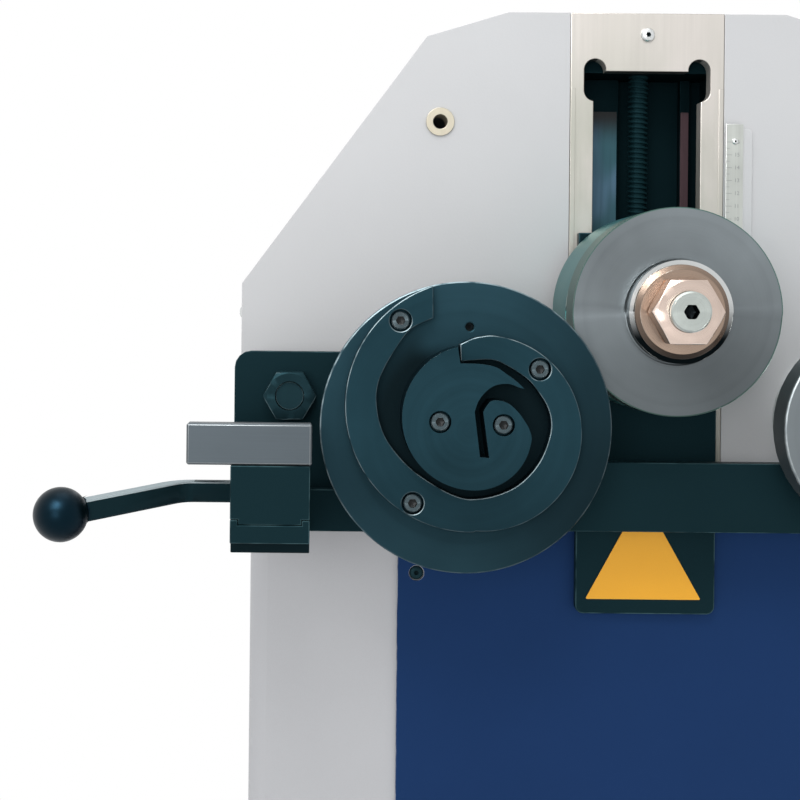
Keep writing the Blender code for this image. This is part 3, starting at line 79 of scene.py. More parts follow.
lens = bpy.data.cameras.new("camera")
lens.lens = lens.sensor_width * FOCAL_LENGTH_PIXELS / PICTURE_SIDE
lens.shift_x = 0.5 - AXIS_PIXEL_X / PICTURE_SIDE
lens.shift_y = AXIS_PIXEL_Y / PICTURE_SIDE - 0.5
camera = bpy.data.objects.new("camera", lens)
level = Matrix.Translation(CAMERA_PLACE) @ Matrix.Rotation(math.pi / 2, 4, "X")
camera.matrix_world = level @ Matrix.Rotation(CAMERA_ROLL, 4, "Z")
bpy.context.scene.collection.objects.link(camera)
bpy.context.scene.camera = camera
print(f"camera with a {lens.lens:.1f} mm lens")

# %% [markdown]
# ## Shader sums in Python
#
# A finish is a sum: grain plus turning marks plus wear. Wiring Math nodes by hand hides that sum, so one
# small class wraps a socket, and Python's operators add the Math nodes. Every other node comes from its
# `node` method: settings first, then the sockets.


# %% One socket that can be added and multiplied
class Flow:
    """An output of a shader node that Python's operators can work with."""

    def __init__(self, tree, socket=None):
        self.tree = tree
        self.socket = socket

    def node(self, kind, settings=None, sockets=None, output=0):
        """A node: its settings are made first, then its sockets get their values or links."""
        made = self.tree.nodes.new(kind)
        for name, value in (settings or {}).items():
            setattr(made, name, value)
        for name, value in (sockets or {}).items():
            if isinstance(value, Flow):
                self.tree.links.new(value.socket, made.inputs[name])
            else:
                made.inputs[name].default_value = value
        return Flow(self.tree, made.outputs[output])

    def math(self, operation, *values):
        return self.node("ShaderNodeMath", {"operation": operation}, dict(enumerate(values)))

    def __add__(self, other):
        return self.math("ADD", self, other)

    def __radd__(self, other):
        return self.math("ADD", other, self)

    def __sub__(self, other):
        return self.math("SUBTRACT", self, other)

    def __rsub__(self, other):
        return self.math("SUBTRACT", other, self)

    def __mul__(self, other):
        return self.math("MULTIPLY", self, other)

    def __rmul__(self, other):
        return self.math("MULTIPLY", other, self)

    def rise(self, start, end):
        """0 up to start, 1 from end on, and a smooth step between them."""
        return self.node(
            "ShaderNodeMapRange", {"interpolation_type": "SMOOTHSTEP"},
            {"Value": self, "From Min": start, "From Max": end},
        )

    def mix(self, share, first, second):
        """The second colour by this share over the first."""
        return self.node("ShaderNodeMix", {"data_type": "RGBA"}, {0: share, 6: first, 7: second}, 2)


print("shader sums are ready")

# %% [markdown]
# ## Light, floor and backdrop
#
# The machine stands on a pale floor in front of white. White paper behind it could be lit until it clips,
# but that light would fall on the machine too. So the room is white only for rays from the camera and for
# mirrored ones, and gives the paint a softer light. The floor is real near the machine, where its shadow
# falls, and fades to white further out.

# %% The room
ROOM_LIGHT = 0.80
WHITE = (1, 1, 1, 1)

room = bpy.data.worlds.new("room")
room.use_nodes = True
bpy.context.scene.world = room
flow = Flow(room.node_tree)


def shown_rays(flow):
    """1 for rays from the camera, mirrored ones and those that pass through something."""
    seen = 0.0
    for ray in ("Is Camera Ray", "Is Glossy Ray", "Is Transmission Ray"):
        seen = flow.node("ShaderNodeLightPath", output=ray) + seen
    return seen.math("MINIMUM", seen, 1.0)


strength = ROOM_LIGHT + shown_rays(flow) * (1 - ROOM_LIGHT)
background = room.node_tree.nodes["Background"]
background.inputs["Color"].default_value = WHITE
room.node_tree.links.new(strength.socket, background.inputs["Strength"])
bpy.context.scene.view_settings.view_transform = "Standard"
print("the room is white to the camera")

# %% The floor
FLOOR_RADIUS = 12.0
FLOOR_DROP = 0.0005
SHADOW_START = 0.9
SHADOW_END = 1.5
PALE_FLOOR = (0.86, 0.86, 0.87, 1)

shape = bmesh.new()
bmesh.ops.create_circle(shape, cap_ends=True, segments=96, radius=FLOOR_RADIUS)
floor_mesh = bpy.data.meshes.new("floor")
shape.to_mesh(floor_mesh)
shape.free()
floor = bpy.data.objects.new("floor", floor_mesh)
floor.location.z = -FLOOR_DROP
bpy.context.scene.collection.objects.link(floor)
floor_paint = bpy.data.materials.new("floor_paint")
floor_paint.use_nodes = True
floor_mesh.materials.append(floor_paint)
flow = Flow(floor_paint.node_tree)
floor_paint.node_tree.nodes.clear()
spot = flow.node("ShaderNodeTexCoord", output="Object")
distance = flow.node("ShaderNodeVectorMath", {"operation": "LENGTH"}, {0: spot}, "Value")
far = distance.rise(SHADOW_START, SHADOW_END) * shown_rays(flow)
glow = flow.node("ShaderNodeEmission", None, {"Color": WHITE})
paper = flow.node("ShaderNodeBsdfDiffuse", None, {"Color": PALE_FLOOR})
blend = flow.node("ShaderNodeMixShader", None, {0: far, 1: paper, 2: glow})
surface = floor_paint.node_tree.nodes.new("ShaderNodeOutputMaterial").inputs["Surface"]
floor_paint.node_tree.links.new(blend.socket, surface)
print("floor laid")


# %% Soft lamps
def soft_lamp(name, place, aim, side, power):
    """A square softbox that looks at a point."""
    data = bpy.data.lights.new(name, "AREA")
    data.size = side
    data.energy = power
    lamp = bpy.data.objects.new(name, data)
    lamp.location = place
    lamp.rotation_euler = (Vector(aim) - Vector(place)).to_track_quat("-Z", "Y").to_euler()
    bpy.context.scene.collection.objects.link(lamp)
    return lamp


LAMP_AIM = (-0.10, -0.25, 0.95)
soft_lamp("key_lamp", (-0.55, -2.20, 2.90), LAMP_AIM, 0.9, 16)
soft_lamp("fill_lamp", (-1.00, -3.00, 1.20), LAMP_AIM, 0.9, 15)
# The card is there to be mirrored in the metal, so it lights nothing else.
soft_lamp("mirror_card", (-0.95, -2.00, 2.60), LAMP_AIM, 1.3, 60).visible_diffuse = False
soft_lamp("top_lamp", (-0.20, -0.30, 3.00), LAMP_AIM, 1.4, 8)
soft_lamp("back_lamp", (1.20, 2.20, 2.20), LAMP_AIM, 1.4, 24)
print("five lamps")

# %% [markdown]
# ## Finishes
#
# Each finish starts from one Principled shader. What is the same everywhere is set on its own sockets, and
# only what really changes over the surface is wired: colour, roughness and the small relief.


# %% Tools for finishes
def new_finish(name, roughness, metallic=0.0, **constants):
    """A Principled material and the start of its shader sums."""
    material = bpy.data.materials.new(name)
    material.use_nodes = True
    shader = material.node_tree.nodes["Principled BSDF"]
    shader.inputs["Roughness"].default_value = roughness
    shader.inputs["Metallic"].default_value = metallic
    for socket, value in constants.items():
        shader.inputs[socket.replace("_", " ")].default_value = value
    return material, Flow(material.node_tree)


def wire(material, **flows):
    """Feeds these flows into the shader's sockets of the same names."""
    shader = material.node_tree.nodes["Principled BSDF"]
    for socket, value in flows.items():
        material.node_tree.links.new(value.socket, shader.inputs[socket.replace("_", " ")])
    return material


def place_on_piece(flow):
    """Object coordinates, in metres: every finished piece sits at the origin."""
    return flow.node("ShaderNodeTexCoord", output="Object")


def grain(flow, scale, detail=2.0, stretch=(1, 1, 1)):
    """Noise from 0 to 1; a small stretch along an axis draws it out along that axis."""
    spot = flow.node("ShaderNodeMapping", None, {"Vector": place_on_piece(flow), "Scale": stretch})
    return flow.node("ShaderNodeTexNoise", None, {"Vector": spot, "Scale": scale, "Detail": detail})


def along(flow, axis):
    """The place along X, Y or Z."""
    return flow.node("ShaderNodeSeparateXYZ", None, {0: place_on_piece(flow)}, axis)


def radius_about(flow, x, z):
    """The distance from a shaft's axis, which runs along Y."""
    off = flow.node(
        "ShaderNodeVectorMath", {"operation": "SUBTRACT"}, {0: place_on_piece(flow), 1: (x, 0, z)}
    )
    flat = flow.node("ShaderNodeVectorMath", {"operation": "MULTIPLY"}, {0: off, 1: (1, 0, 1)})
    return flow.node("ShaderNodeVectorMath", {"operation": "LENGTH"}, {0: flat}, "Value")


def relief(flow, height, depth):
    """A bump of this depth in metres."""
    return flow.node("ShaderNodeBump", None, {"Strength": 1.0, "Distance": depth, "Height": height})


def edge_wear(flow):
    """1 on the faces that rounding made, so that edges can be rubbed bright; on the former and the lever it
    also holds painted highlight.
    """
    return flow.node("ShaderNodeAttribute", {"attribute_name": "edge_wear"}, output="Fac")


# The near-black colour of painted shade.
PAINTED_SHADE_COLOUR = (0.003, 0.005, 0.006, 1.0)


def grimed(flow, colour):
    """The colour, with painted shade on the faces that are marked for it."""
    painted_shade = flow.node("ShaderNodeAttribute", {"attribute_name": "painted_shade"}, output="Fac")
    return flow.mix(painted_shade, colour, PAINTED_SHADE_COLOUR)


def scaled(colour, factor):
    """A colour made lighter or darker."""
    return tuple(min(channel * factor, 1.0) for channel in colour) + (1.0,)


print("finish tools are ready")

# %% [markdown]
# ### Paint
#
# The head, the column, the blue panel and the dark castings are sprayed. Sprayed paint isn't one flat
# colour: it has a fine orange-peel skin, cloudy patches a hand wide, and rubbed edges. Three noises give
# these, and they share one function, because the paints differ only in colour and gloss.


# %% Sprayed paint
def sprayed(name, colour, roughness, peel, rubbed, rub=0.5, variation=0.05, **constants):
    """Paint with an orange-peel skin, cloudy patches and rubbed edges."""
    material, flow = new_finish(name, roughness, **constants)
    clouds = grain(flow, 7.0, 4.0)
    fleck = grain(flow, 1400.0, 1.0)
    skin = grain(flow, 420.0, 2.0)
    shade = 0.5 + (clouds - 0.5) * 1.2 + (fleck - 0.5) * 0.8
    coat = flow.mix(shade, scaled(colour, 1 - variation), scaled(colour, 1 + variation))
    wear_and_highlight = edge_wear(flow) * grain(flow, 60.0, 3.0).rise(0.35, 0.65) * rub
    return wire(
        material,
        Base_Color=grimed(flow, flow.mix(wear_and_highlight, coat, (*rubbed, 1.0))),
        Roughness=roughness + (clouds - 0.5) * 0.12 + (fleck - 0.5) * 0.10,
        Normal=relief(flow, skin, peel),
    )


DEEP_GLOSS = {"Specular_IOR_Level": 0.10, "Specular_Tint": (0.30, 0.80, 1.0, 1.0)}
light_grey = sprayed("light_grey_paint", (0.565, 0.573, 0.585), 0.50, 0.00006, (0.66, 0.66, 0.67))
column_grey = sprayed("column_grey_paint", (0.46, 0.467, 0.484), 0.48, 0.00006, (0.62, 0.62, 0.64), rub=0.8)
blue = sprayed(
    "blue_paint", (0.011, 0.032, 0.108), 0.42, 0.00004, (0.42, 0.44, 0.47), rub=1.0, variation=0.08,
    **DEEP_GLOSS
)
dark_paint = sprayed(
    "dark_machine_paint", (0.0055, 0.0168, 0.0208), 0.42, 0.00005, (0.045, 0.090, 0.100), rub=0.9,
    variation=0.22, **DEEP_GLOSS
)
way_oil = sprayed(
    "way_oil", (0.0016, 0.0065, 0.0080), 0.55, 0.00002, (0.010, 0.030, 0.036), variation=0.3, **DEEP_GLOSS
)
spindle_oil = sprayed(
    "spindle_oil", (0.0055, 0.0215, 0.0260), 0.50, 0.00001, (0.012, 0.036, 0.042), variation=0.2, **DEEP_GLOSS
)
print("six paints and oils")

# %% [markdown]
# ### Turned and ground steel
#
# The rollers, the shafts and the former are turned on a lathe, which leaves fine rings round their axis. A
# picture of rings could be laid on them, but it would stretch on the rim. A noise that reads only the
# distance from the axis plus the place along it gives rings on the faces and bands on the rims.


# %% Steel from the lathe
RIM_FADE = 0.0004
RUB_FADE = 0.004


def turned_metal(
    name, colour, roughness, x, z, bright, metallic=0.9, marks=0.35, rub=0.9, rim=None, depth=0.15, shade_rule=None,
    rubbed_from=0.0, **constants
):
    """Metal with turning marks about a shaft axis and stains of this depth.

    A rim is (radius, colour): from there out it is tinted. The shade rule is a function of the flow and the
    radius that gives how much painted shade darkens the metal. Edges are rubbed bright from this radius on.
    """
    material, flow = new_finish(name, roughness, metallic, **constants)
    radius = radius_about(flow, x, z)
    line = radius + along(flow, "Y")
    fine, broad = (
        flow.node(
            "ShaderNodeTexNoise", {"noise_dimensions": "1D"}, {"W": line, "Scale": scale, "Detail": 2.0}
        )
        for scale in (2600.0, 160.0)
    )
    stains = grain(flow, 12.0, 4.0)
    shade = 0.5 + (fine - 0.5) * marks + (broad - 0.5) * marks + (stains - 0.5) * 1.6
    skin = flow.mix(shade, scaled(colour, 1 - depth), scaled(colour, 1 + depth))
    if rim:
        skin = flow.mix(radius.rise(rim[0] - RIM_FADE, rim[0]), skin, (*rim[1], 1.0))
    if shade_rule:
        skin = flow.mix(shade_rule(flow, radius), skin, PAINTED_SHADE_COLOUR)
    wear_and_highlight = edge_wear(flow) * grain(flow, 90.0, 3.0).rise(0.25, 0.6) * rub
    if rubbed_from:
        wear_and_highlight = wear_and_highlight * radius.rise(rubbed_from, rubbed_from + RUB_FADE)
    return wire(
        material,
        Base_Color=grimed(flow, flow.mix(wear_and_highlight, skin, (*bright, 1.0))),
        Roughness=roughness + (fine - 0.5) * 0.12 + (stains - 0.5) * 0.16,
        Normal=relief(flow, fine * 0.6 + broad * 0.4, 0.00003),
    )


LEFT_X, LEFT_Z = [(a + b) / 2 for a, b in zip(*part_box("former_disc"))][::2]
RIGHT_X, RIGHT_Z = -LEFT_X, LEFT_Z
TOP_X, TOP_Z = 0.0, sum(corner.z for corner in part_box("top_front_ring")) / 2
GREY_STEEL = (0.178, 0.203, 0.216)
BRIGHT_STEEL = (0.60, 0.63, 0.62)
BRIGHT_EDGE = (0.60, 0.66, 0.66)
NUT_PLATING = (0.66, 0.535, 0.465)
NUT_EDGE = (0.86, 0.80, 0.74)
RIM_RADIUS = 0.0745


def oil_below(low, high, share):
    """Painted shade: darker the lower the metal lies between these heights."""
    return lambda flow, radius: (1.0 - along(flow, "Z").rise(low, high)) * share


# Painted shade: the front ring's face darkens towards the bottom.
front_ring_steel = turned_metal(
    "front_ring_steel", GREY_STEEL, 0.40, TOP_X, TOP_Z, BRIGHT_EDGE, rub=0.35,
    rim=(RIM_RADIUS, (0.07, 0.14, 0.12)), depth=0.25, shade_rule=oil_below(TOP_Z - 0.080, TOP_Z + 0.060, 0.46),
)
rear_ring_steel = turned_metal(
    "rear_ring_steel", (0.10, 0.19, 0.19), 0.36, TOP_X, TOP_Z, (0.62, 0.66, 0.62),
    rim=(RIM_RADIUS, (0.045, 0.19, 0.19)),
)
right_roller_steel = turned_metal(
    "right_roller_steel", GREY_STEEL, 0.40, RIGHT_X, RIGHT_Z, BRIGHT_EDGE, rub=0.35
)
left_bright = turned_metal("left_bright_steel", BRIGHT_STEEL, 0.30, LEFT_X, LEFT_Z, BRIGHT_EDGE)
right_bright = turned_metal("right_bright_steel", BRIGHT_STEEL, 0.30, RIGHT_X, RIGHT_Z, BRIGHT_EDGE)
top_bright = turned_metal("top_bright_steel", (0.46, 0.50, 0.475), 0.30, TOP_X, TOP_Z, (0.75, 0.78, 0.76))
gear_steel = turned_metal("gear_steel", GREY_STEEL, 0.38, 0.0, LEFT_Z, BRIGHT_EDGE)
top_plated = turned_metal(
    "top_plated", NUT_PLATING, 0.27, TOP_X, TOP_Z, NUT_EDGE, metallic=1.0, marks=0.25, depth=0.25
)
washer_plated = turned_metal(
    "washer_plated", (0.37, 0.275, 0.215), 0.27, TOP_X, TOP_Z, (0.80, 0.72, 0.64), metallic=1.0, marks=0.25,
    depth=0.30
)
right_plated = turned_metal(
    "right_plated", NUT_PLATING, 0.27, RIGHT_X, RIGHT_Z, NUT_EDGE, metallic=1.0, marks=0.25
)
# Painted shade and painted reflection: the collar darkens on its lower half, as if mirroring the dark below.
collar_metal = turned_metal(
    "collar_metal", (0.60, 0.62, 0.62), 0.22, TOP_X, TOP_Z, (0.60, 0.62, 0.60), metallic=1.0, marks=0.3,
    shade_rule=oil_below(TOP_Z - 0.020, TOP_Z + 0.012, 1.0),
)
print("steel about three axes")

# %% [markdown]
# ### Black oxide
#
# The scroll former is blackened in a hot salt bath: a thin blue-black skin on turned steel, not paint. Its
# edges are rubbed down to the bright steel, and painted highlight makes those that face the light brightest.
# Painted shade darkens it lower down, in its groove and on the disc's right. It is the lathe finish again,
# dark, with little mirror in it.

# %% Blackened steel
OXIDE = (0.0125, 0.0365, 0.0490)
DISC_OXIDE = (0.0180, 0.0480, 0.0640)
OXIDE_EDGE = (0.50, 0.62, 0.66)
# Radii between which the painted shade in the disc's groove fades out.
SHADE_FULL_RADIUS = 0.058
SHADE_END_RADIUS = 0.086
RUBBED_RADIUS = 0.090
OXIDE_SKIN = {"metallic": 0.25, "marks": 0.4, **DEEP_GLOSS}
# Painted shade: the arm and the hub darken towards the bottom.
former_oxide = turned_metal(
    "former_oxide", OXIDE, 0.40, LEFT_X, LEFT_Z, OXIDE_EDGE, depth=0.32,
    shade_rule=oil_below(LEFT_Z - 0.08, LEFT_Z, 0.25), **OXIDE_SKIN
)


def disc_oil(flow, radius):
    """Painted shade in the groove under the arm, and painted shadow and shade that darken the disc towards
    the right, under the top roller, and towards the bottom.
    """
    x, z = along(flow, "X"), along(flow, "Z")
    open_top = z.rise(LEFT_Z + 0.045, LEFT_Z + 0.062) * x.rise(LEFT_X - 0.042, LEFT_X - 0.024)
    groove = (1.0 - radius.rise(SHADE_FULL_RADIUS, SHADE_END_RADIUS)) * (1.0 - open_top)
    roller_shadow_and_low_shade = x.rise(LEFT_X, LEFT_X + 0.11) * 0.45 + (1.0 - z.rise(LEFT_Z - 0.06, LEFT_Z + 0.09)) * 0.36
    return groove.math("MAXIMUM", groove * 0.95, roller_shadow_and_low_shade)


disc_oxide = turned_metal(
    "disc_oxide", DISC_OXIDE, 0.40, LEFT_X, LEFT_Z, OXIDE_EDGE, depth=0.30, shade_rule=disc_oil,
    rubbed_from=RUBBED_RADIUS, **OXIDE_SKIN
)
plain_oxide = turned_metal(
    "plain_oxide", (0.0115, 0.0300, 0.0370), 0.40, RIGHT_X, RIGHT_Z, (0.12, 0.19, 0.21), **OXIDE_SKIN
)
# A near-black pin fills the disc's small hole: its colour is painted shade for the dark hole.
pin_painted_shade = turned_metal(
    "pin_painted_shade", (0.004, 0.009, 0.011), 0.6, LEFT_X, LEFT_Z, (0.02, 0.03, 0.03), metallic=0.0,
    Specular_IOR_Level=0.1,
)
screw_oxide = turned_metal(
    "screw_oxide", (0.052, 0.080, 0.092), 0.34, LEFT_X, LEFT_Z, (0.36, 0.43, 0.45), metallic=0.5, marks=0.3
)
print("black oxide")

# %% [markdown]
# ### Nickel plate
#
# The channel that guides the top roller is plated a warm, slightly pink nickel. It was brushed along its
# length before plating, so its grain is noise that is drawn out along Z, and years of oily hands left soft
# yellow stains. A picture of brushed metal would repeat; noise doesn't.


# %% Brushed nickel
def brushed_nickel(name, colour, stain, roughness):
    """Plated metal with upright brush lines and stains."""
    material, flow = new_finish(name, roughness, 0.55)
    lines = grain(flow, 900.0, 3.0, (1, 1, 0.012))
    bands = grain(flow, 160.0, 2.0, (1, 1, 0.03))
    stains = grain(flow, 16.0, 4.0, (1, 1, 0.45))
    shade = 0.5 + (lines - 0.5) * 0.8 + (bands - 0.5) * 0.9
    skin = flow.mix(shade, scaled(colour, 0.93), scaled(colour, 1.06))
    recoloured = stains.rise(0.25, 0.62) * (1.0 - along(flow, "Z").rise(1.16, 1.27) * 0.75)
    skin = flow.mix(recoloured, skin, (*stain, 1.0))
    wear_and_highlight = edge_wear(flow) * 0.65
    return wire(
        material,
        Base_Color=grimed(flow, flow.mix(wear_and_highlight, skin, (0.30, 0.28, 0.25, 1.0))),
        Roughness=roughness + (lines - 0.5) * 0.2 + (stains - 0.5) * 0.15,
        Normal=relief(flow, lines, 0.00002),
    )


nickel = brushed_nickel("channel_nickel", (0.610, 0.575, 0.540), (0.410, 0.412, 0.362), 0.40)
bush_nickel = brushed_nickel("bush_nickel", (0.62, 0.58, 0.48), (0.50, 0.46, 0.36), 0.36)
print("nickel plate")

# %% [markdown]
# ### Ball, buttons and ground flats
#
# The ball is cast phenolic, polished once and dulled since by hands. The jaw is a ground block, whose wheel
# marks run straight across it. The buttons are moulded plastic. They are small, so one noise each is enough.


# %% Plastics
def moulded(name, colour, roughness, **constants):
    """Moulded plastic with faint flow marks and handling scuffs."""
    material, flow = new_finish(name, roughness, **constants)
    scuffs = grain(flow, 130.0, 5.0)
    patches = grain(flow, 18.0, 3.0)
    return wire(
        material,
        Base_Color=flow.mix(patches, scaled(colour, 0.85), scaled(colour, 1.15)),
        Roughness=roughness + (scuffs - 0.5) * 0.3,
        Normal=relief(flow, scuffs, 0.00001),
    )


ball_black = moulded(
    "ball_black", (0.0002, 0.0020, 0.0025), 0.34, Specular_IOR_Level=0.24,
    Specular_Tint=(0.22, 0.62, 1.0, 1.0),
)
stop_red = moulded("stop_red", (0.50, 0.018, 0.016), 0.32)
start_green = moulded("start_green", (0.016, 0.26, 0.07), 0.32)
print("plastics")


# %% Ground and rolled flats
def ground_flat(name, colour, roughness, stretch, bright, metallic=0.85, **constants):
    """Steel with straight grinding marks drawn out along the stretched axis."""
    material, flow = new_finish(name, roughness, metallic, **constants)
    lines = grain(flow, 800.0, 3.0, stretch)
    stains = grain(flow, 40.0, 4.0)
    shade = 0.5 + (lines - 0.5) * 0.9 + (stains - 0.5) * 0.7
    skin = flow.mix(shade, scaled(colour, 0.88), scaled(colour, 1.12))
    wear_and_highlight = edge_wear(flow) * 0.9
    return wire(
        material,
        Base_Color=grimed(flow, flow.mix(wear_and_highlight, skin, (*bright, 1.0))),
        Roughness=roughness + (lines - 0.5) * 0.15 + (stains - 0.5) * 0.2,
        Normal=relief(flow, lines, 0.00002),
    )


jaw_steel = ground_flat("jaw_steel", (0.073, 0.089, 0.101), 0.45, (0.02, 1, 1), (0.24, 0.26, 0.27))
ruler_steel = ground_flat("ruler_steel", (0.46, 0.48, 0.455), 0.40, (1, 1, 0.02), (0.72, 0.74, 0.73))
pin_steel = ground_flat("zinc_screws", (0.66, 0.68, 0.68), 0.25, (1, 1, 1), (0.85, 0.86, 0.86), metallic=1.0)
lever_steel = ground_flat(
    "lever_steel", (0.0058, 0.0165, 0.0205), 0.38, (0.05, 1, 1), (0.36, 0.42, 0.44), metallic=0.1,
    **DEEP_GLOSS
)
print("ground flats")

# %% [markdown]
# ## From a solid to a dressed piece
#
# A solid from the imported model has knife edges, and no real machine has. A Bevel modifier could round them,
# but a imported mesh is loose triangles, so it is copied, merged and its flats made whole first. The bevel
# is an operator on that copy, because it then says which faces it made: those get an `edge_wear`
# value that the finishes read, for worn edges and, on the former and the lever, painted highlight.

# %% Copy, ease, place
MERGE_DISTANCE = 0.00001
FLAT_ANGLE = math.radians(0.6)
SHARP_ANGLE = math.radians(33)
STRIP_RATIO = 6.0
CURVE_ANGLE = math.radians(26)
STRAIGHT_RATIO = 2.4
WALL_PARTS = 4
WALL_LEAN = 0.01
SAME_LEVEL = 0.0005
STRAIGHT_DOT = 0.99999
# The side whose light puts a painted highlight on the former's edges.
LIT_SIDE = Vector((-0.62, -0.10, 0.78))
LEAST_RUB = 0.10
FULL_HIGHLIGHT = 1.10
STEEP = 0.3
UNDERCUT_HEIGHT = 0.0085
UNDERCUT_EDGE = 0.002


def copied(node):
    """A solid's triangles as one merged shape with whole flats."""
    shape = bmesh.new()
    shape.from_mesh(solids[node].data)
    bmesh.ops.remove_doubles(shape, verts=shape.verts, dist=MERGE_DISTANCE)
    bmesh.ops.dissolve_limit(shape, angle_limit=FLAT_ANGLE, verts=shape.verts, edges=shape.edges)
    return shape


def smooth_line(first, last, start, end):
    """Points between two corners on a line that leaves and arrives in these directions."""
    chord = (last - first).length
    points = []
    for step in range(1, WALL_PARTS):
        t = step / WALL_PARTS
        points.append(
            first * (2 * t ** 3 - 3 * t ** 2 + 1) + start * chord * (t ** 3 - 2 * t ** 2 + t)
            + last * (3 * t ** 2 - 2 * t ** 3) + end * chord * (t ** 3 - t ** 2)
        )
    return points


def heading_at(edge, wall, way):
    """The direction of the outline where two walls meet, or None at a corner."""
    others = [face for face in edge.link_faces if face is not wall]
    if len(others) != 1 or edge.calc_face_angle(math.pi) > CURVE_ANGLE:
        return None
    flat = others[0].normal.cross(Vector((0, 1, 0))).normalized()
    flat = flat if flat.dot(way) > 0 else -flat
    sizes = [face.calc_perimeter() / 2 - edge.calc_length() for face in (wall, others[0])]
    if max(sizes) > STRAIGHT_RATIO * min(sizes):
        return way if sizes[0] > sizes[1] else flat
    return (way + flat).normalized()


def runs_back(edge):
    """Whether an edge runs from front to back."""
    return abs(edge.verts[0].co.y - edge.verts[1].co.y) > SAME_LEVEL


def rounded_walls(shape):
    """Curved walls of a plate that faces the operator get more points, on a smooth line."""
    plans = []
    for wall in shape.faces:
        if abs(wall.normal.y) > WALL_LEAN or len(wall.verts) != 4:
            continue
        upright = [edge for edge in wall.edges if runs_back(edge)]
        level = [edge for edge in wall.edges if edge not in upright]
        if len(upright) != 2 or len(level) != 2:
            continue
        one, two = upright
        way = two.verts[0].co - one.verts[0].co
        way = Vector((way.x, 0, way.z)).normalized()
        start, end = heading_at(one, wall, way), heading_at(two, wall, way)
        if start is None and end is None:
            continue
        start = start or (2 * end.dot(way) * way - end)
        end = end or (2 * start.dot(way) * way - start)
        if min(start.dot(way), end.dot(way)) > STRAIGHT_DOT:
            continue
        plans.append((one, level, start, end))
    jobs = []
    for one, level, start, end in plans:
        for edge in level:
            first = next(vert for vert in edge.verts if vert in one.verts)
            last = edge.other_vert(first)
            jobs.append((first, last, smooth_line(first.co, last.co, start, end)))
    rows = []
    for first, last, points in jobs:
        row = []
        for point in points:
            edge = next(edge for edge in first.link_edges if edge.other_vert(first) is last)
            first = bmesh.utils.edge_split(edge, first, 0.5)[1]
            first.co = point
            row.append(first)
        rows.append(row)
    for front, back in zip(rows[::2], rows[1::2]):
        for a, b in zip(front, back):
            shared = set(a.link_faces) & set(b.link_faces)
            if shared:
                bmesh.utils.face_split(shared.pop(), a, b)
    shape.normal_update()


def rubbed_side(shape, side):
    """Painted highlight: edges keep a little wear all round, and are brightest where they face this side's
    light.
    """
    wear_and_highlight = shape.faces.layers.float["edge_wear"]
    for face in shape.faces:
        if face[wear_and_highlight] > 0:
            face[wear_and_highlight] = LEAST_RUB + FULL_HIGHLIGHT * max(0.0, face.normal.dot(side))


def eased(shape, width, segments=2, sharp=SHARP_ANGLE, clamp=True):
    """Rounds the sharp edges, marks the new faces, and keeps flats flat in the shading."""
    wear_and_highlight = shape.faces.layers.float.new("edge_wear")
    edges = [
        edge for edge in shape.edges if edge.is_manifold and edge.is_convex and edge.calc_face_angle() > sharp
    ]
    made = bmesh.ops.bevel(
        shape, geom=edges, offset=width, offset_type="OFFSET", segments=segments, profile=0.5,
        affect="EDGES", clamp_overlap=clamp, material=-1,
    )
    for face in made["faces"]:
        face[wear_and_highlight] = 1.0
    for face in shape.faces:
        face.smooth = True
    for edge in shape.edges:
        if not edge.is_manifold:
            continue
        first, second = edge.link_faces
        areas = sorted((max(first.calc_area(), 1e-12), max(second.calc_area(), 1e-12)))
        bent = edge.calc_face_angle(0.0)
        uneven = bent > FLAT_ANGLE and areas[1] / areas[0] > STRIP_RATIO
        if first[wear_and_highlight] != second[wear_and_highlight] or bent > sharp or (uneven and first[wear_and_highlight] == 0.0):
            edge.smooth = False
    return shape


def set_down(name, shape, finish, body, stands_for=()):
    """A shape as a finished piece that rides on a body."""
    mesh = bpy.data.meshes.new(name)
    shape.to_mesh(mesh)
    shape.free()
    mesh.materials.append(finish)
    piece = bpy.data.objects.new(name, mesh)
    bpy.context.scene.collection.objects.link(piece)
    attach(piece, body)
    if stands_for:
        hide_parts(*stands_for)
    print(f"{name}: {len(mesh.polygons)} faces on {body}")
    return piece


def oiled(shape, share_of):
    """Gives each face the share of painted shade that the rule says."""
    painted_shade = shape.faces.layers.float.new("painted_shade")
    for face in shape.faces:
        face[painted_shade] = max(0.0, min(share_of(face), 1.0))
    return shape


def slot_oil(face):
    """Painted shade on the walls of the channel's slot, apart from the right one, which faces the light."""
    center = face.calc_center_median()
    inside = abs(center.x) < SHADED_HALF_WIDTH and center.z < SHADED_TOP and abs(face.normal.y) < STEEP
    return 0.85 if inside and face.normal.x > -STEEP else 0.0


def groove_oil(face):
    """Painted shade on the former's steep walls."""
    return 0.8 if abs(face.normal.y) < STEEP else 0.0


def undercut_oil(face):
    """Under its front edge the guide's base is set back, and there it gets painted shade."""
    center = face.calc_center_median()
    low = center.z < guide_low.z + UNDERCUT_HEIGHT
    return 0.9 if low and center.y > guide_low.y + UNDERCUT_EDGE else 0.0


def nut_oil(face):
    """Painted shade on a turned piece that still lies about +Z: its walls darken the more they will face
    down.
    """
    return 0.55 - 0.60 * face.normal.y if abs(face.normal.z) < 0.95 else 0.0


def dressed(node, finish, width=0.0006, segments=2, shade_rule=None, curved=False, side=None, clamp=True):
    """A solid with eased edges and its finish, and painted shade on the faces that the rule picks."""
    shape = copied(node)
    if curved:
        rounded_walls(shape)
    if shade_rule:
        oiled(shape, shade_rule)
    eased(shape, width, segments, clamp=clamp)
    if side:
        rubbed_side(shape, side)
    return set_down(node + "_dressed", shape, finish, body_of[node], [node])


# %% [markdown]
# ## The frame of the machine
#
# The head is two flame-cut plates with a folded sheet between them, on a folded column. Its edges are
# ground by hand, about a millimetre round. They could be modelled afresh, but the solids have the right
# outlines already, so they are copied and eased.

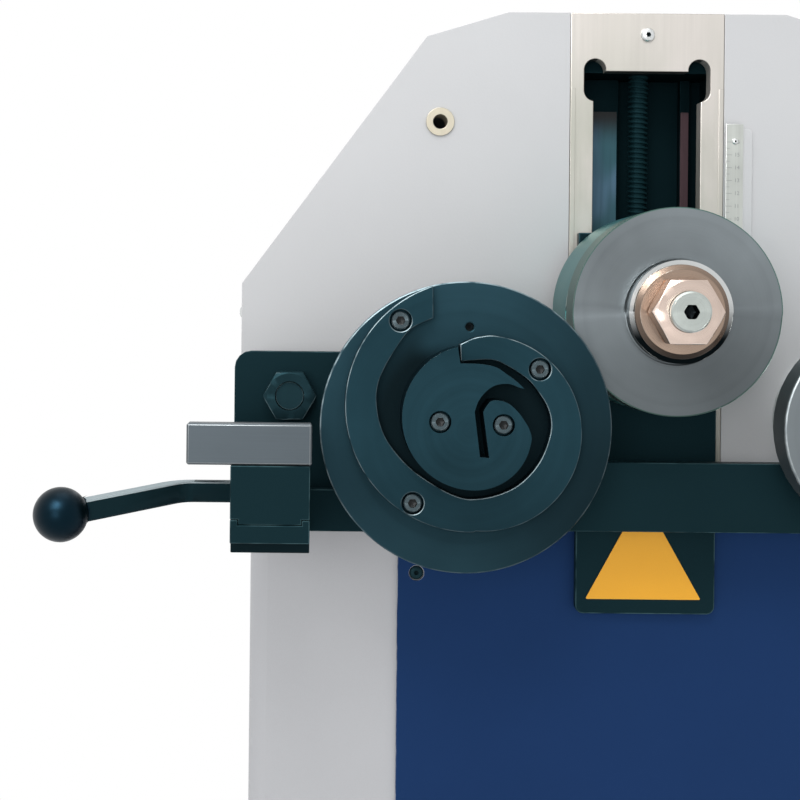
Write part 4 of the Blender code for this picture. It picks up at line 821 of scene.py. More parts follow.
# %% Head, column and beam
for node, finish, width in (
    ("head_front_plate", light_grey, 0.0009),
    ("head_rear_plate", light_grey, 0.0009),
    ("head_shroud", light_grey, 0.0006),
    ("ruler_strip", light_grey, 0.0005),
    ("cabinet_shell", column_grey, 0.0006),
    ("cabinet_deck", column_grey, 0.0008),
    ("rear_panel", column_grey, 0.0005),
    ("drive_hood", column_grey, 0.0012),
    ("control_box", column_grey, 0.0012),
    ("front_panel", blue, 0.0009),
    ("base_plate", dark_paint, 0.0015),
    ("scroll_beam", dark_paint, 0.0008),
    ("guide_slide", dark_paint, 0.0007),
    ("carriage_face", dark_paint, 0.0009),
    ("carriage_block", dark_paint, 0.0009),
    ("guide_jaw", jaw_steel, 0.0003),
):
    dressed(node, finish, width)
channel_low, channel_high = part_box("slide_channel")
# The slot's walls get painted shade up to this height.
SHADED_HALF_WIDTH = 0.0525
SHADED_TOP = channel_high.z - 0.030
dressed("slide_channel", nickel, 0.0005, shade_rule=slot_oil, curved=True)
guide_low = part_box("guide_base")[0]
dressed("guide_base", dark_paint, 0.0007, shade_rule=undercut_oil)

# %% [markdown]
# ## Turned pieces
#
# Rings, collars, shafts and screws come off a lathe: the tool follows a section, and the work turns. The
# Screw modifier could do that, but a modifier keeps no record of the edges, so the section is spun as an
# operator and its edges are eased like those of any other piece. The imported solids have 48 sides; these
# have 96, so that their rims stay round in a close view.

# %% Lathe tools
ROUND_STEPS = 96
SCREW_STEPS = 48
FACE_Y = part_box("head_front_plate")[0].y


def facing(x, z):
    """Turns a piece that was made about +Z to face the operator, on an axis through this place."""
    return Matrix.Translation((x, FACE_Y, z)) @ Matrix.Rotation(math.pi / 2, 4, "X")


def spun(section, steps=ROUND_STEPS, closed=True):
    """A section of (radius, distance ahead) spun about +Z."""
    shape = bmesh.new()
    points = [shape.verts.new((radius, 0, ahead)) for radius, ahead in section]
    lines = [shape.edges.new(pair) for pair in zip(points, points[1:])]
    if closed:
        lines.append(shape.edges.new((points[-1], points[0])))
    bmesh.ops.spin(
        shape, geom=points + lines, cent=(0, 0, 0), axis=(0, 0, 1), angle=2 * math.pi, steps=steps,
        use_merge=True,
    )
    bmesh.ops.remove_doubles(shape, verts=shape.verts, dist=MERGE_DISTANCE)
    bmesh.ops.recalc_face_normals(shape, faces=shape.faces)
    return shape


def hexed(shape, radius, flats):
    """Moves the points at this radius onto a hexagon that measures so much across its flats."""
    for vert in shape.verts:
        if abs(vert.co.xy.length - radius) > MERGE_DISTANCE:
            continue
        turn = math.atan2(vert.co.y, vert.co.x) % (math.pi / 3) - math.pi / 6
        reach = flats / 2 / math.cos(turn) / radius
        vert.co.x *= reach
        vert.co.y *= reach
    return shape


HEX_RADIUS_SHARE = 0.6
POINT_SHARE = 0.2


def socket_section(flats, front, depth):
    """The last points of a section that ends in a hexagon socket with a drill point."""
    radius = flats * HEX_RADIUS_SHARE
    return [(radius, front), (radius, front - depth), (0, front - depth - flats * POINT_SHARE)]


def with_socket(section, flats, front, depth, steps):
    """A turned head with a hexagon socket, whose inside is marked for painted shade."""
    reach = flats * HEX_RADIUS_SHARE
    shape = spun(section + socket_section(flats, front, depth), steps, closed=False)
    hexed(shape, reach, flats)
    painted_shade = shape.faces.layers.float.new("painted_shade")
    for face in shape.faces:
        middle = face.calc_center_median()
        if middle.xy.length < reach and front - depth - flats < middle.z < front - MERGE_DISTANCE:
            face[painted_shade] = 1.0
    return shape


def radius_of(node, index=0):
    """Half the width of a turned solid."""
    low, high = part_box(node)
    return (high[index] - low[index]) / 2


def reach_of(node):
    """How far ahead of the head's face a solid's back and front are."""
    low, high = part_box(node)
    return FACE_Y - high.y, FACE_Y - low.y


def middle_of(node):
    """The middle of a solid as the operator sees it."""
    low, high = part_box(node)
    return (low.x + high.x) / 2, (low.z + high.z) / 2


print(f"the head's face is at y {FACE_Y:.3f}")

# %% [markdown]
# ### The top roller
#
# Two hardened rings sit on a sleeve that turns on a fixed axle. The wide rear ring and the front ring meet
# in a groove, their faces are turned grey and their rims are darker. The front ring's bore has a shallow
# recess, which draws a fine shadow round the collar. Discs with a bevel could stand for them, but only a
# spun section gives the recess and the collar's step in one piece.

# %% Rings, collar and washer
RING_BORE = 0.0353
RECESS_RADIUS = 0.0384
RECESS_DEPTH = 0.0010
AXLE_BORE = 0.0236
RUNNING_GAP = 0.0003
SLEEVE_RADIUS = 0.0350
JOIN_GAP = 0.0003


def top_piece(name, node, section, finish, body, ease, segments, shade_rule=None):
    """A turned piece on the top roller's axis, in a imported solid's place."""
    shape = spun(section)
    if shade_rule:
        oiled(shape, shade_rule)
    shape.transform(facing(TOP_X, TOP_Z))
    return set_down(name, eased(shape, ease, segments), finish, body, [node])


back, front = reach_of("top_front_ring")
radius = radius_of("top_front_ring")
top_piece("front_ring", "top_front_ring", [
    (RING_BORE, back), (radius, back), (radius, front),
    (RECESS_RADIUS, front), (RECESS_RADIUS, front - RECESS_DEPTH), (RING_BORE, front - RECESS_DEPTH),
], front_ring_steel, "top_roll", 0.0008, 3)
sleeve_step = front + JOIN_GAP

back, front = reach_of("top_rear_ring")
radius = radius_of("top_rear_ring")
top_piece("rear_ring", "top_rear_ring", [
    (RING_BORE, back), (radius, back), (radius, front), (RING_BORE, front),
], rear_ring_steel, "top_roll", 0.0016, 2)

back, front = reach_of("top_sleeve")
front -= RUNNING_GAP
radius = radius_of("top_sleeve")
top_piece("roller_sleeve", "top_sleeve", [
    (AXLE_BORE, back), (SLEEVE_RADIUS, back), (SLEEVE_RADIUS, sleeve_step),
    (radius, sleeve_step), (radius, front), (AXLE_BORE, front),
], collar_metal, "top_roll", 0.0007, 3)

# %% [markdown]
# ### Washer, nut and shaft end
#
# The roller is held by a thick washer and a hexagon nut. A real nut is chamfered at 30 degrees, so its
# front face is round and its corners fall away. The nut starts as a turned ring. Its outer points are moved
# in onto a hexagon, and each then falls back by how far it still stands out from the chamfer's circle.


# %% Nut maker
CHAMFER_SLOPE = math.tan(math.radians(30))
CROWN_SHARE = 0.97


def hexagon_nut(flats, bore, thickness):
    """A nut about +Z between 0 and its thickness, with a turned chamfer on both sides."""
    corner = flats / math.sqrt(3)
    chamfer_start = flats / 2 * CROWN_SHARE
    shape = spun([
        (bore, 0), (chamfer_start, 0), (corner, 0),
        (corner, thickness), (chamfer_start, thickness), (bore, thickness),
    ], SCREW_STEPS)
    hexed(shape, corner, flats)
    for vert in shape.verts:
        drop = (vert.co.xy.length - chamfer_start) * CHAMFER_SLOPE
        if drop > MERGE_DISTANCE:
            vert.co.z += drop if vert.co.z < thickness / 2 else -drop
    return shape


def nut_piece(name, node, x, z, bore, finish, ease=0.0004):
    """A nut in a packed nut's place."""
    back, front = reach_of(node)
    shape = oiled(hexagon_nut(radius_of(node, 2) * 2, bore, front - back), nut_oil)
    bmesh.ops.translate(shape, verts=shape.verts, vec=(0, 0, back))
    shape.transform(facing(x, z))
    return set_down(name, eased(shape, ease), finish, body_of[node], [node])


THREAD_BORE = 0.0146
nut_piece("axle_nut", "top_nut", TOP_X, TOP_Z, THREAD_BORE, top_plated)
nut_piece("shaft_nut", "right_nut", RIGHT_X, RIGHT_Z, THREAD_BORE, right_plated)
STUD_X, STUD_Z = [(a + b) / 2 for a, b in zip(*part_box("right_stud"))][::2]
STUD_BORE = 0.0104 + JOIN_GAP
nut_piece("left_beam_nut", "left_stud_nut", -STUD_X, STUD_Z, STUD_BORE, plain_oxide, 0.0006)
nut_piece("right_beam_nut", "right_stud_nut", STUD_X, STUD_Z, STUD_BORE, plain_oxide, 0.0006)

# %% Washer and the two threaded shafts
WASHER_RIM = 0.0008
WASHER_CONE = 0.0036
back, front = reach_of("top_washer")
radius = radius_of("top_washer")
top_piece("axle_washer", "top_washer", [
    (THREAD_BORE, back), (radius, back), (radius, back + WASHER_RIM),
    (radius - WASHER_CONE, front), (THREAD_BORE, front),
], washer_plated, "carriage", 0.0003, 2, nut_oil)
shoulder = back - JOIN_GAP

SHAFT_RADIUS = 0.0225
THREAD_RADIUS = 0.0143
END_CHAMFER = 0.0014
SOCKET_FLATS = 0.0100
SOCKET_DEPTH = 0.012


def threaded_shaft(name, node, x, z, shoulder, finish):
    """A shaft with a stepped end, a chamfer and a hexagon socket, in a packed shaft's place."""
    back, front = reach_of(node)
    shape = with_socket([
        (0, back), (SHAFT_RADIUS, back), (SHAFT_RADIUS, shoulder), (THREAD_RADIUS, shoulder),
        (THREAD_RADIUS, front - END_CHAMFER), (THREAD_RADIUS - END_CHAMFER, front),
    ], SOCKET_FLATS, front, SOCKET_DEPTH, SCREW_STEPS)
    shape.transform(facing(x, z))
    return set_down(name, eased(shape, 0.0003), finish, body_of[node], [node])


threaded_shaft("roller_axle", "top_axle", TOP_X, TOP_Z, shoulder, top_bright)
threaded_shaft("right_drive_shaft", "right_shaft", RIGHT_X, RIGHT_Z, shoulder, right_bright)

# %% [markdown]
# ### The lower rollers' shafts
#
# The right shaft carries a roller, its collar and its nut. The left one carries the scroll former. What
# stands between the head and the beam is only seen from the side. It could be turned as finely as the top
# roller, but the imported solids' own meshes are fine enough there.

# %% Lower shaft pieces
for node, finish, width in (
    ("right_roller", right_roller_steel, 0.0006),
    ("right_collar", right_plated, 0.0005),
    ("right_spacer", plain_oxide, 0.0005),
    ("left_spacer", plain_oxide, 0.0005),
    ("left_shaft", left_bright, 0.0006),
    ("left_bearing", left_bright, 0.0004),
    ("right_bearing", right_bright, 0.0004),
    ("left_stud", plain_oxide, 0.0006),
    ("right_stud", plain_oxide, 0.0006),
    ("bush_left", bush_nickel, 0.0003),
    ("bush_right", bush_nickel, 0.0003),
    ("ruler", ruler_steel, 0.0002),
    ("left_gear", gear_steel, 0.0005),
    ("right_gear", gear_steel, 0.0005),
    ("drive_pinion", gear_steel, 0.0005),
    ("slide_way", way_oil, 0.0005),
    ("spindle_block", way_oil, 0.0006),
    ("gearbox", dark_paint, 0.0015),
    ("gear_motor", blue, 0.0015),
):
    dressed(node, finish, width)

# %% [markdown]
# ### The scroll former
#
# A disc on the left shaft carries a spiral arm round a slotted hub. All three are milled plates with a fine
# chamfer that catches the light. The imported outlines are short straight walls. A finer outline could be
# drawn again, but it would leave the solids, so points are added between their corners on a smooth line.

# %% Disc, arm and hub
# The chamfers that face the light get painted highlight; the steep walls, the disc's groove and its lower
# right painted shade.
dressed("former_disc", disc_oxide, 0.0009, curved=True, side=LIT_SIDE, clamp=False)
dressed("former_arm", former_oxide, 0.0007, shade_rule=groove_oil, curved=True, side=LIT_SIDE, clamp=False)
dressed("former_hub", former_oxide, 0.0007, shade_rule=groove_oil, curved=True, side=LIT_SIDE)

# %% [markdown]
# ### Socket screws
#
# Five M8 socket screws hold the former together, each in a counterbore. A socket is what makes a screw read
# as a screw, so it is cut for real: the spun section runs on down into a round hole with a drill point, and
# the hole's points are moved onto a hexagon. The faces inside are marked, and get painted shade.

# %% Former screws
HEAD_RADIUS = 0.0062
HEAD_HEIGHT = 0.0080
HEAD_CHAMFER = 0.0008
SHANK_RADIUS = 0.0040
KEY_FLATS = 0.0060
KEY_DEPTH = 0.0040

for node in sorted(solids):
    if "_screw_" not in node:
        continue
    back, front = reach_of(node)
    seat = front - HEAD_HEIGHT
    screw = with_socket([
        (0, back - seat), (SHANK_RADIUS, back - seat), (SHANK_RADIUS, 0), (HEAD_RADIUS, 0),
        (HEAD_RADIUS, HEAD_HEIGHT - HEAD_CHAMFER), (HEAD_RADIUS - HEAD_CHAMFER, HEAD_HEIGHT),
    ], KEY_FLATS, HEAD_HEIGHT, KEY_DEPTH, SCREW_STEPS)
    bmesh.ops.translate(screw, verts=screw.verts, vec=(0, 0, seat))
    screw.transform(facing(*middle_of(node)))
    set_down(node + "_dressed", eased(screw, 0.0002), screw_oxide, body_of[node], [node])

# %% Dark pin in the disc's hole, coloured as painted shade
PIN_X_OFFSET = 0.0020
PIN_RISE = 0.071
PIN_RADIUS = 0.0029
PIN_DROP = 0.004
disc_back, disc_front = reach_of("former_disc")
pin = with_socket(
    [(0, disc_back), (PIN_RADIUS, disc_back), (PIN_RADIUS, disc_front - PIN_DROP)],
    PIN_RADIUS, disc_front - PIN_DROP, PIN_RADIUS / 2, SCREW_STEPS // 2,
)
pin.transform(facing(LEFT_X + PIN_X_OFFSET, LEFT_Z + PIN_RISE))
set_down("disc_pin", eased(pin, 0.0002), pin_painted_shade, body_of["former_disc"])

# %% [markdown]
# ### The lift spindle
#
# The spindle raises and lowers the carriage by 4 mm a turn. Its thread is left-handed, so that turning the
# crank clockwise presses the roller down. A thread could be a bump, but its outline shows in the slot, so
# it is real: the outline of the flanks is spun one turn while it moves one pitch along, which joins each
# flank to the next, and two planes cut the ends square.

# %% Spindle with its thread
PITCH = 0.004
THREAD_DEPTH = 0.0020
CREST_SHARE = 0.37
FLANK_SHARE = 0.13
THREAD_STEPS = 24
THREAD_GAP = 0.0004
THREAD_OVERLAP = 0.001
SPINDLE_RADIUS = 0.0080
COLLAR_HEIGHT = 0.006
CRANK_FLATS = 0.0104
low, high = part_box("lift_spindle")
spindle_place = ((low.x + high.x) / 2, (low.y + high.y) / 2, 0)
block_bottom, block_top = (corner.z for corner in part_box("spindle_block"))
thread_top = block_bottom - THREAD_GAP
root_radius = SPINDLE_RADIUS - THREAD_DEPTH

thread = bmesh.new()
turns = math.ceil((thread_top - low.z) / PITCH) + 2
points = []
for turn in range(turns + 1):
    start = low.z + (turn - 1) * PITCH
    for radius, share in (
        (SPINDLE_RADIUS, 0.0), (SPINDLE_RADIUS, CREST_SHARE),
        (root_radius, CREST_SHARE + FLANK_SHARE), (root_radius, 1.0 - FLANK_SHARE),
    ):
        points.append(thread.verts.new((radius, 0, start + share * PITCH)))
lines = [thread.edges.new(pair) for pair in zip(points, points[1:])]
bmesh.ops.spin(
    thread, geom=points + lines, cent=(0, 0, 0), axis=(0, 0, 1), dvec=(0, 0, -PITCH / THREAD_STEPS),
    angle=2 * math.pi, steps=THREAD_STEPS, use_merge=False,
)
bmesh.ops.remove_doubles(thread, verts=thread.verts, dist=MERGE_DISTANCE)
for height, normal in ((low.z, (0, 0, -1)), (thread_top, (0, 0, 1))):
    bmesh.ops.bisect_plane(
        thread, geom=thread.verts[:] + thread.edges[:] + thread.faces[:], plane_co=(0, 0, height),
        plane_no=normal, clear_outer=True,
    )
bmesh.ops.holes_fill(thread, edges=[edge for edge in thread.edges if edge.is_boundary])
bmesh.ops.recalc_face_normals(thread, faces=thread.faces)
open_edges = sum(1 for edge in thread.edges if not edge.is_manifold)
print(f"thread of {turns} turns, {open_edges} open edges")
bmesh.ops.translate(thread, verts=thread.verts, vec=spindle_place)
for face in thread.faces:
    face.smooth = False
set_down("spindle_thread", thread, spindle_oil, "spindle")

# %% Spindle's plain end
head_bottom = thread_top - THREAD_OVERLAP
collar_bottom = block_top + JOIN_GAP
collar_top = collar_bottom + COLLAR_HEIGHT
collar_radius = radius_of("lift_spindle")
crank_radius = CRANK_FLATS * HEX_RADIUS_SHARE
top = spun([
    (0, head_bottom), (SPINDLE_RADIUS, head_bottom), (SPINDLE_RADIUS, collar_bottom),
    (collar_radius, collar_bottom), (collar_radius, collar_top),
    (crank_radius, collar_top), (crank_radius, high.z), (0, high.z),
], SCREW_STEPS, closed=False)
hexed(top, crank_radius, CRANK_FLATS)
bmesh.ops.translate(top, verts=top.verts, vec=spindle_place)
set_down("spindle_head", eased(top, 0.0004), spindle_oil, "spindle", ["lift_spindle"])

# %% [markdown]
# ### Ball lever
#
# The lever that locks the bar guide is a drawn square bar with small chamfers, bent once, with a black ball
# on its end. A square is extruded from one station of the solid's own line to the next, as a bender would
# feed it. The ball is a spun arc with a flat seat and a short neck, as moulded balls have.

# %% The lever's line
LEVER_HALF = 0.0072
LEVER_CHAMFER = 0.0011
LEVER_END_EASE = 0.0003
LEVER_END_ANGLE = math.radians(80)
LEVER_START = 0.0004
STRAIGHT = 0.0275
BEND = 0.010
BEND_SHARES = (0.0, 0.25, 0.5, 0.75, 1.0)
KNOB_SEAT_SHARE = 0.9
knob_low, knob_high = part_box("ball_knob")
knob_middle = (knob_low + knob_high) / 2
knob_radius = radius_of("ball_knob")
joint = {row["name"]: row for row in frame["record"]["behaviour"]["joints"]}["clamp_lever_turn"]
lever_axis = Vector(joint["pos_m"])
straight_end = lever_axis + Vector((-STRAIGHT, 0, 0))
bend_point = lever_axis + Vector((-STRAIGHT - BEND, 0, 0))
direction = (knob_middle - bend_point).normalized()
bend_end = bend_point + direction * BEND
route = [lever_axis + Vector((-LEVER_START, 0, 0))]
for share in BEND_SHARES:
    route.append(
        straight_end * (1 - share) ** 2 + bend_point * 2 * share * (1 - share) + bend_end * share ** 2
    )
route.append(knob_middle - direction * knob_radius * KNOB_SEAT_SHARE)
print(f"the lever's line has {len(route)} stations")

# %% Lever and its pin
TOP_DOT = 0.85
SLOPE_DOT = 0.4
frames = []
for index, spot in enumerate(route):
    before, after = route[max(index - 1, 0)], route[min(index + 1, len(route) - 1)]
    heading = (after - before).normalized()
    sideways = heading.cross(Vector((0, 0, 1))).normalized()
    turn = Matrix((sideways, sideways.cross(heading), heading)).transposed().to_4x4()
    frames.append(Matrix.Translation(spot) @ turn)
lever = bmesh.new()
bmesh.ops.create_circle(
    lever, cap_ends=True, segments=4, radius=LEVER_HALF * math.sqrt(2),
    matrix=frames[0] @ Matrix.Rotation(math.pi / 4, 4, "Z"),
)
bmesh.ops.bevel(
    lever, geom=lever.verts[:], offset=LEVER_CHAMFER, segments=1, profile=0.5, affect="VERTICES",
)
end_face = lever.faces[:]
for before, after in zip(frames, frames[1:]):
    made = bmesh.ops.extrude_face_region(lever, geom=end_face)["geom"]
    end_face = [item for item in made if isinstance(item, bmesh.types.BMFace)]
    bmesh.ops.transform(
        lever, matrix=after @ before.inverted(),
        verts=[item for item in made if isinstance(item, bmesh.types.BMVert)],
    )
bmesh.ops.recalc_face_normals(lever, faces=lever.faces)
eased(lever, LEVER_END_EASE, 1, LEVER_END_ANGLE)
# Painted highlight: the bent part's top faces and the sloping chamfers get the bright edge colour, as if lit
# from above.
wear_and_highlight = lever.faces.layers.float["edge_wear"]
for face in lever.faces:
    recoloured = face.normal.z > TOP_DOT and face.calc_center_median().x < straight_end.x
    face[wear_and_highlight] = 1.0 if recoloured or SLOPE_DOT < face.normal.z < TOP_DOT else 0.0
for edge in lever.edges:
    edge.smooth = edge.calc_face_angle(0.0) < SHARP_ANGLE / 1.5
set_down("lever_bar", lever, lever_steel, "lever", ["clamp_lever"])

PIN_TURNED_RADIUS = 0.0069
PIN_INNER = -0.0355
PIN_OUTER = 0.004
lever_pin = spun(
    [(0, PIN_INNER), (PIN_TURNED_RADIUS, PIN_INNER), (PIN_TURNED_RADIUS, PIN_OUTER), (0, PIN_OUTER)],
    SCREW_STEPS, closed=False,
)
lever_pin.transform(Matrix.Translation(lever_axis) @ Matrix.Rotation(-math.pi / 2, 4, "Y"))
set_down("lever_pin", eased(lever_pin, 0.0005), lever_steel, "lever")

# %% Ball
BALL_STEPS = 32
BALL_ARC = math.radians(152)
NECK_STEP = 0.0002
NECK_LENGTH = 0.0012
arc = [(0, knob_radius)]
for index in range(1, BALL_STEPS):
    angle = math.pi / 2 - BALL_ARC * index / (BALL_STEPS - 1)
    arc.append((knob_radius * math.cos(angle), knob_radius * math.sin(angle)))
seat_radius, seat = arc[-1]
neck_radius = seat_radius + NECK_STEP
arc += [(neck_radius, seat - NECK_STEP), (neck_radius, seat - NECK_LENGTH), (0, seat - NECK_LENGTH)]
ball = spun(arc, ROUND_STEPS, closed=False)
ball.transform(Matrix.Translation(knob_middle) @ direction.to_track_quat("Z", "Y").to_matrix().to_4x4())
set_down("lever_ball", eased(ball, 0.0003), ball_black, "lever", ["ball_knob"])

# %% [markdown]
# ### Buttons
#
# The stop button is a mushroom that a palm can hit, the start button a flat one inside a ring. A cylinder
# would do for the flat one, but the mushroom's cap is a curve, so both are spun from a section. Their
# hidden ends are a millimetre short of the solids', to clear the bores' floors when they are pressed.

# %% Buttons and their bezels
STEM_RELIEF = 0.0010
STEM_RADIUS = 0.011
CAP_GAP = 0.012
CAP_EDGE = 0.0015
CAP_SIDE = 0.002
CAP_POWER = 0.45
CAP_STEPS = 12
DISH_DEPTH = 0.0006
BEZEL_GAP = 0.0004
BEZEL_WIDTH = 0.0042
BEZEL_SINK = 0.003
BEZEL_RISES = (0.0012, 0.0030)
box_front = reach_of("control_box")[1]
cap_back = box_front + CAP_GAP
for node, finish, dome in (("stop_button", stop_red, True), ("start_button", start_green, False)):
    place = facing(*middle_of(node))
    back, front = reach_of(node)
    back += STEM_RELIEF
    radius = radius_of(node)
    if dome:
        section = [
            (0, back), (STEM_RADIUS, back), (STEM_RADIUS, cap_back), (radius * 0.96, cap_back),
            (radius, cap_back + CAP_EDGE),
        ]
        side = cap_back + CAP_SIDE
        for index in range(CAP_STEPS):
            angle = math.pi / 2 * index / CAP_STEPS
            section.append((radius * math.cos(angle) ** CAP_POWER, side + (front - side) * math.sin(angle)))
        section.append((0, front))
    else:
        section = [
            (0, back), (radius, back), (radius, front), (radius * 0.72, front),
            (radius * 0.66, front - DISH_DEPTH), (0, front - DISH_DEPTH),
        ]
    button = spun(section, SCREW_STEPS, closed=False)
    button.transform(place)
    set_down(node + "_dressed", eased(button, 0.0005), finish, body_of[node], [node])
    inner = (STEM_RADIUS if dome else radius) + BEZEL_GAP
    outer = inner + BEZEL_WIDTH
    bezel = spun([
        (inner, box_front - BEZEL_SINK), (outer, box_front - BEZEL_SINK),
        (outer, box_front + BEZEL_RISES[0]), (inner, box_front + BEZEL_RISES[1]),
    ], SCREW_STEPS)
    bezel.transform(place)
    set_down(node + "_bezel", eased(bezel, 0.0004), pin_steel, "frame")

# %% [markdown]
# ## Small things on the front
#
# The channel has a button-head screw over its slot, and a narrow strip stands a hair proud along each of
# its edges. The panels are held by dark screws set in their holes, and the carriage has a plain yellow
# plate. All of them could be painted on, but each catches light and throws a small shadow, so they are real.


# %% Button-head screws
def button_screw(name, place, turn, radius, body, finish=None, height=None):
    """A round button-head screw with a socket; +Z of the turn is out of the surface."""
    height = height or radius * 0.55
    section = [(0, -radius * 0.4), (radius * 0.5, -radius * 0.4), (radius * 0.5, 0), (radius, 0)]
    section += [
        (radius * math.cos(angle) ** 0.6, height * math.sin(angle))
        for angle in [math.radians(12 + 58 * index / 5) for index in range(6)]
    ]
    shape = with_socket(section, radius * 0.62, height, height * 0.6, SCREW_STEPS // 2)
    shape.transform(Matrix.Translation(place) @ turn)
    return set_down(name, eased(shape, radius * 0.03), finish or pin_steel, body)


OUT_FRONT = Matrix.Rotation(math.pi / 2, 4, "X")
OUT_BACK = Matrix.Rotation(-math.pi / 2, 4, "X")
OUT_LEFT = Matrix.Rotation(-math.pi / 2, 4, "Y")
OUT_RIGHT = Matrix.Rotation(math.pi / 2, 4, "Y")
OUT_TOP = Matrix.Identity(4)
CHANNEL_SCREW_DROP = 0.0171
button_screw("channel_screw", (0, FACE_Y, channel_high.z - CHANNEL_SCREW_DROP), OUT_FRONT, 0.0057, "frame")


# %% Channel strips
def rounded_box(low, high, width):
    """A box between two corners with eased edges."""
    size = Vector(high) - Vector(low)
    middle = (Vector(high) + Vector(low)) / 2
    shape = bmesh.new()
    bmesh.ops.create_cube(shape, size=1.0, matrix=Matrix.Translation(middle) @ Matrix.Diagonal((*size, 1)))
    return eased(shape, width)


STRIP_WIDTH = 0.0042
STRIP_PROUD = 0.0004
STRIP_TOP = 1.2078
for name, left in (("left", channel_low.x), ("right", channel_high.x - STRIP_WIDTH)):
    strip = rounded_box(
        (left + 0.0002, FACE_Y - STRIP_PROUD, channel_low.z + 0.001),
        (left + STRIP_WIDTH - 0.0002, FACE_Y + 0.002, STRIP_TOP), 0.0003,
    )
    set_down(name + "_channel_strip", strip, nickel, "frame")

# %% [markdown]
# ### Linings in the slot
#
# Behind the slot the pads of the guide way are faced with thin strips, steel on the left and a brown
# laminate on the right, and their tops are darkened with painted shade. A flat colour would read as paint,
# so each strip gets blotches of painted reflection and streaks of noise, and fades to painted shade at the
# top.


# %% Two linings
def lining(name, colour, reflection_colour, fade_start, fade_end):
    """A wiped lining of the way: blotches of painted reflection of the room, fading to painted shade towards
    the top.
    """
    material, flow = new_finish(name, 0.5, Specular_IOR_Level=0.2)
    reflection_blotches = grain(flow, 34.0, 1.0, (1, 1, 0.6))
    streaks = grain(flow, 300.0, 2.0, (1, 1, 0.05))
    coat = flow.mix(reflection_blotches.rise(0.42, 0.66), (*colour, 1.0), (*reflection_colour, 1.0))
    coat = flow.mix(streaks.rise(0.35, 0.75) * 0.35, coat, scaled(colour, 0.5))
    return wire(
        material,
        Base_Color=flow.mix(along(flow, "Z").rise(fade_start, fade_end), coat, PAINTED_SHADE_COLOUR),
        Roughness=0.45 + streaks * 0.15,
    )


lining_blue = lining("lining_steel", (0.030, 0.105, 0.135), (0.080, 0.165, 0.250), 1.165, 1.192)
lining_brown = lining("lining_laminate", (0.070, 0.036, 0.044), (0.100, 0.052, 0.064), 1.190, 1.199)
LINING_TOP = 1.194
LINING = 0.0006
PAD_FRONT = -0.2162
for name, left, right, finish in (
    ("left_lining", -0.0455, -0.0165, lining_blue), ("right_lining", 0.0350, 0.0412, lining_brown)
):
    strip = rounded_box(
        (left, PAD_FRONT - LINING, channel_low.z + 0.01), (right, PAD_FRONT + 0.002, LINING_TOP), 0.0002
    )
    set_down(name, strip, finish, "frame")

# %% Panel screws and the yellow plate
PANEL_SCREW_INSET = 0.0148
PANEL_SCREW_RISE = 0.0397
PANEL_SCREW_SINK = 0.0022
for plate, turn in (("front_panel", OUT_FRONT), ("rear_panel", OUT_BACK)):
    low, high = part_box(plate)
    seat = low.y + PANEL_SCREW_SINK if turn is OUT_FRONT else high.y - PANEL_SCREW_SINK
    for row, z in (("low", low.z + PANEL_SCREW_RISE), ("high", high.z - PANEL_SCREW_RISE)):
        for side, x in (("left", low.x + PANEL_SCREW_INSET), ("right", high.x - PANEL_SCREW_INSET)):
            button_screw(
                f"{plate}_screw_{row}_{side}", (x, seat, z), turn, 0.0055, "frame", plain_oxide, 0.0016
            )

yellow = sprayed("yellow_enamel", (0.84, 0.395, 0.012), 0.35, 0.00003, (0.65, 0.40, 0.08), variation=0.06)
PLATE_POINTS = ((-0.0465, 0.8103), (0.0430, 0.8103), (0.0075, 0.8730), (-0.0125, 0.8730))
PLATE_THICKNESS = 0.0008
PLATE_CORNER = 0.0015
plate_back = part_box("carriage_face")[0].y - 0.0001
plate = bmesh.new()
corners = [plate.verts.new((x, plate_back, z)) for x, z in PLATE_POINTS]
outline = plate.faces.new(corners)
pulled = bmesh.ops.extrude_face_region(plate, geom=[outline])["geom"]
bmesh.ops.translate(
    plate, verts=[item for item in pulled if isinstance(item, bmesh.types.BMVert)],
    vec=(0, -PLATE_THICKNESS, 0),
)
bmesh.ops.recalc_face_normals(plate, faces=plate.faces)
bmesh.ops.bevel(
    plate, geom=[edge for edge in plate.edges if runs_back(edge)], offset=PLATE_CORNER, offset_type="OFFSET",
    segments=4, profile=0.5, affect="EDGES", clamp_overlap=True, material=-1,
)
set_down("yellow_plate", eased(plate, 0.0002), yellow, "carriage")

# %% [markdown]
# ### Height scale
#
# The scale beside the channel shows the top roller's height, so that a setting can be repeated. Its lines
# and numbers could be a picture, but that would blur in a close view. So the lines are thin raised bars and
# the numbers are text, made a mesh before they are put in place.

# %% Scale lines and numbers
ink = moulded("scale_ink", (0.24, 0.25, 0.25), 0.5)
ruler_low, ruler_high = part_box("ruler")
TICK_LIFT = 0.00008
TICK_STEP = 0.005
TICK_LENGTHS = (0.0045, 0.0026)
TICK_HALF = 0.00016
TICK_INSET = 0.0002
SCALE_START = 0.006
SCALE_MARGIN = 0.016
NUMBER_HEIGHT = 0.0042
NUMBER_INSET = 0.0086
ticks = bmesh.new()
count = int((ruler_high.z - ruler_low.z - SCALE_MARGIN) / TICK_STEP)
for index in range(count + 1):
    height = ruler_low.z + SCALE_START + index * TICK_STEP
    left = ruler_low.x + TICK_INSET
    low = Vector((left, ruler_low.y - TICK_LIFT, height - TICK_HALF))
    high = Vector((left + TICK_LENGTHS[index % 2], ruler_low.y + 0.0001, height + TICK_HALF))
    bmesh.ops.create_cube(
        ticks, size=1.0, matrix=Matrix.Translation((low + high) / 2) @ Matrix.Diagonal((*(high - low), 1))
    )
set_down("scale_lines", ticks, ink, "frame")
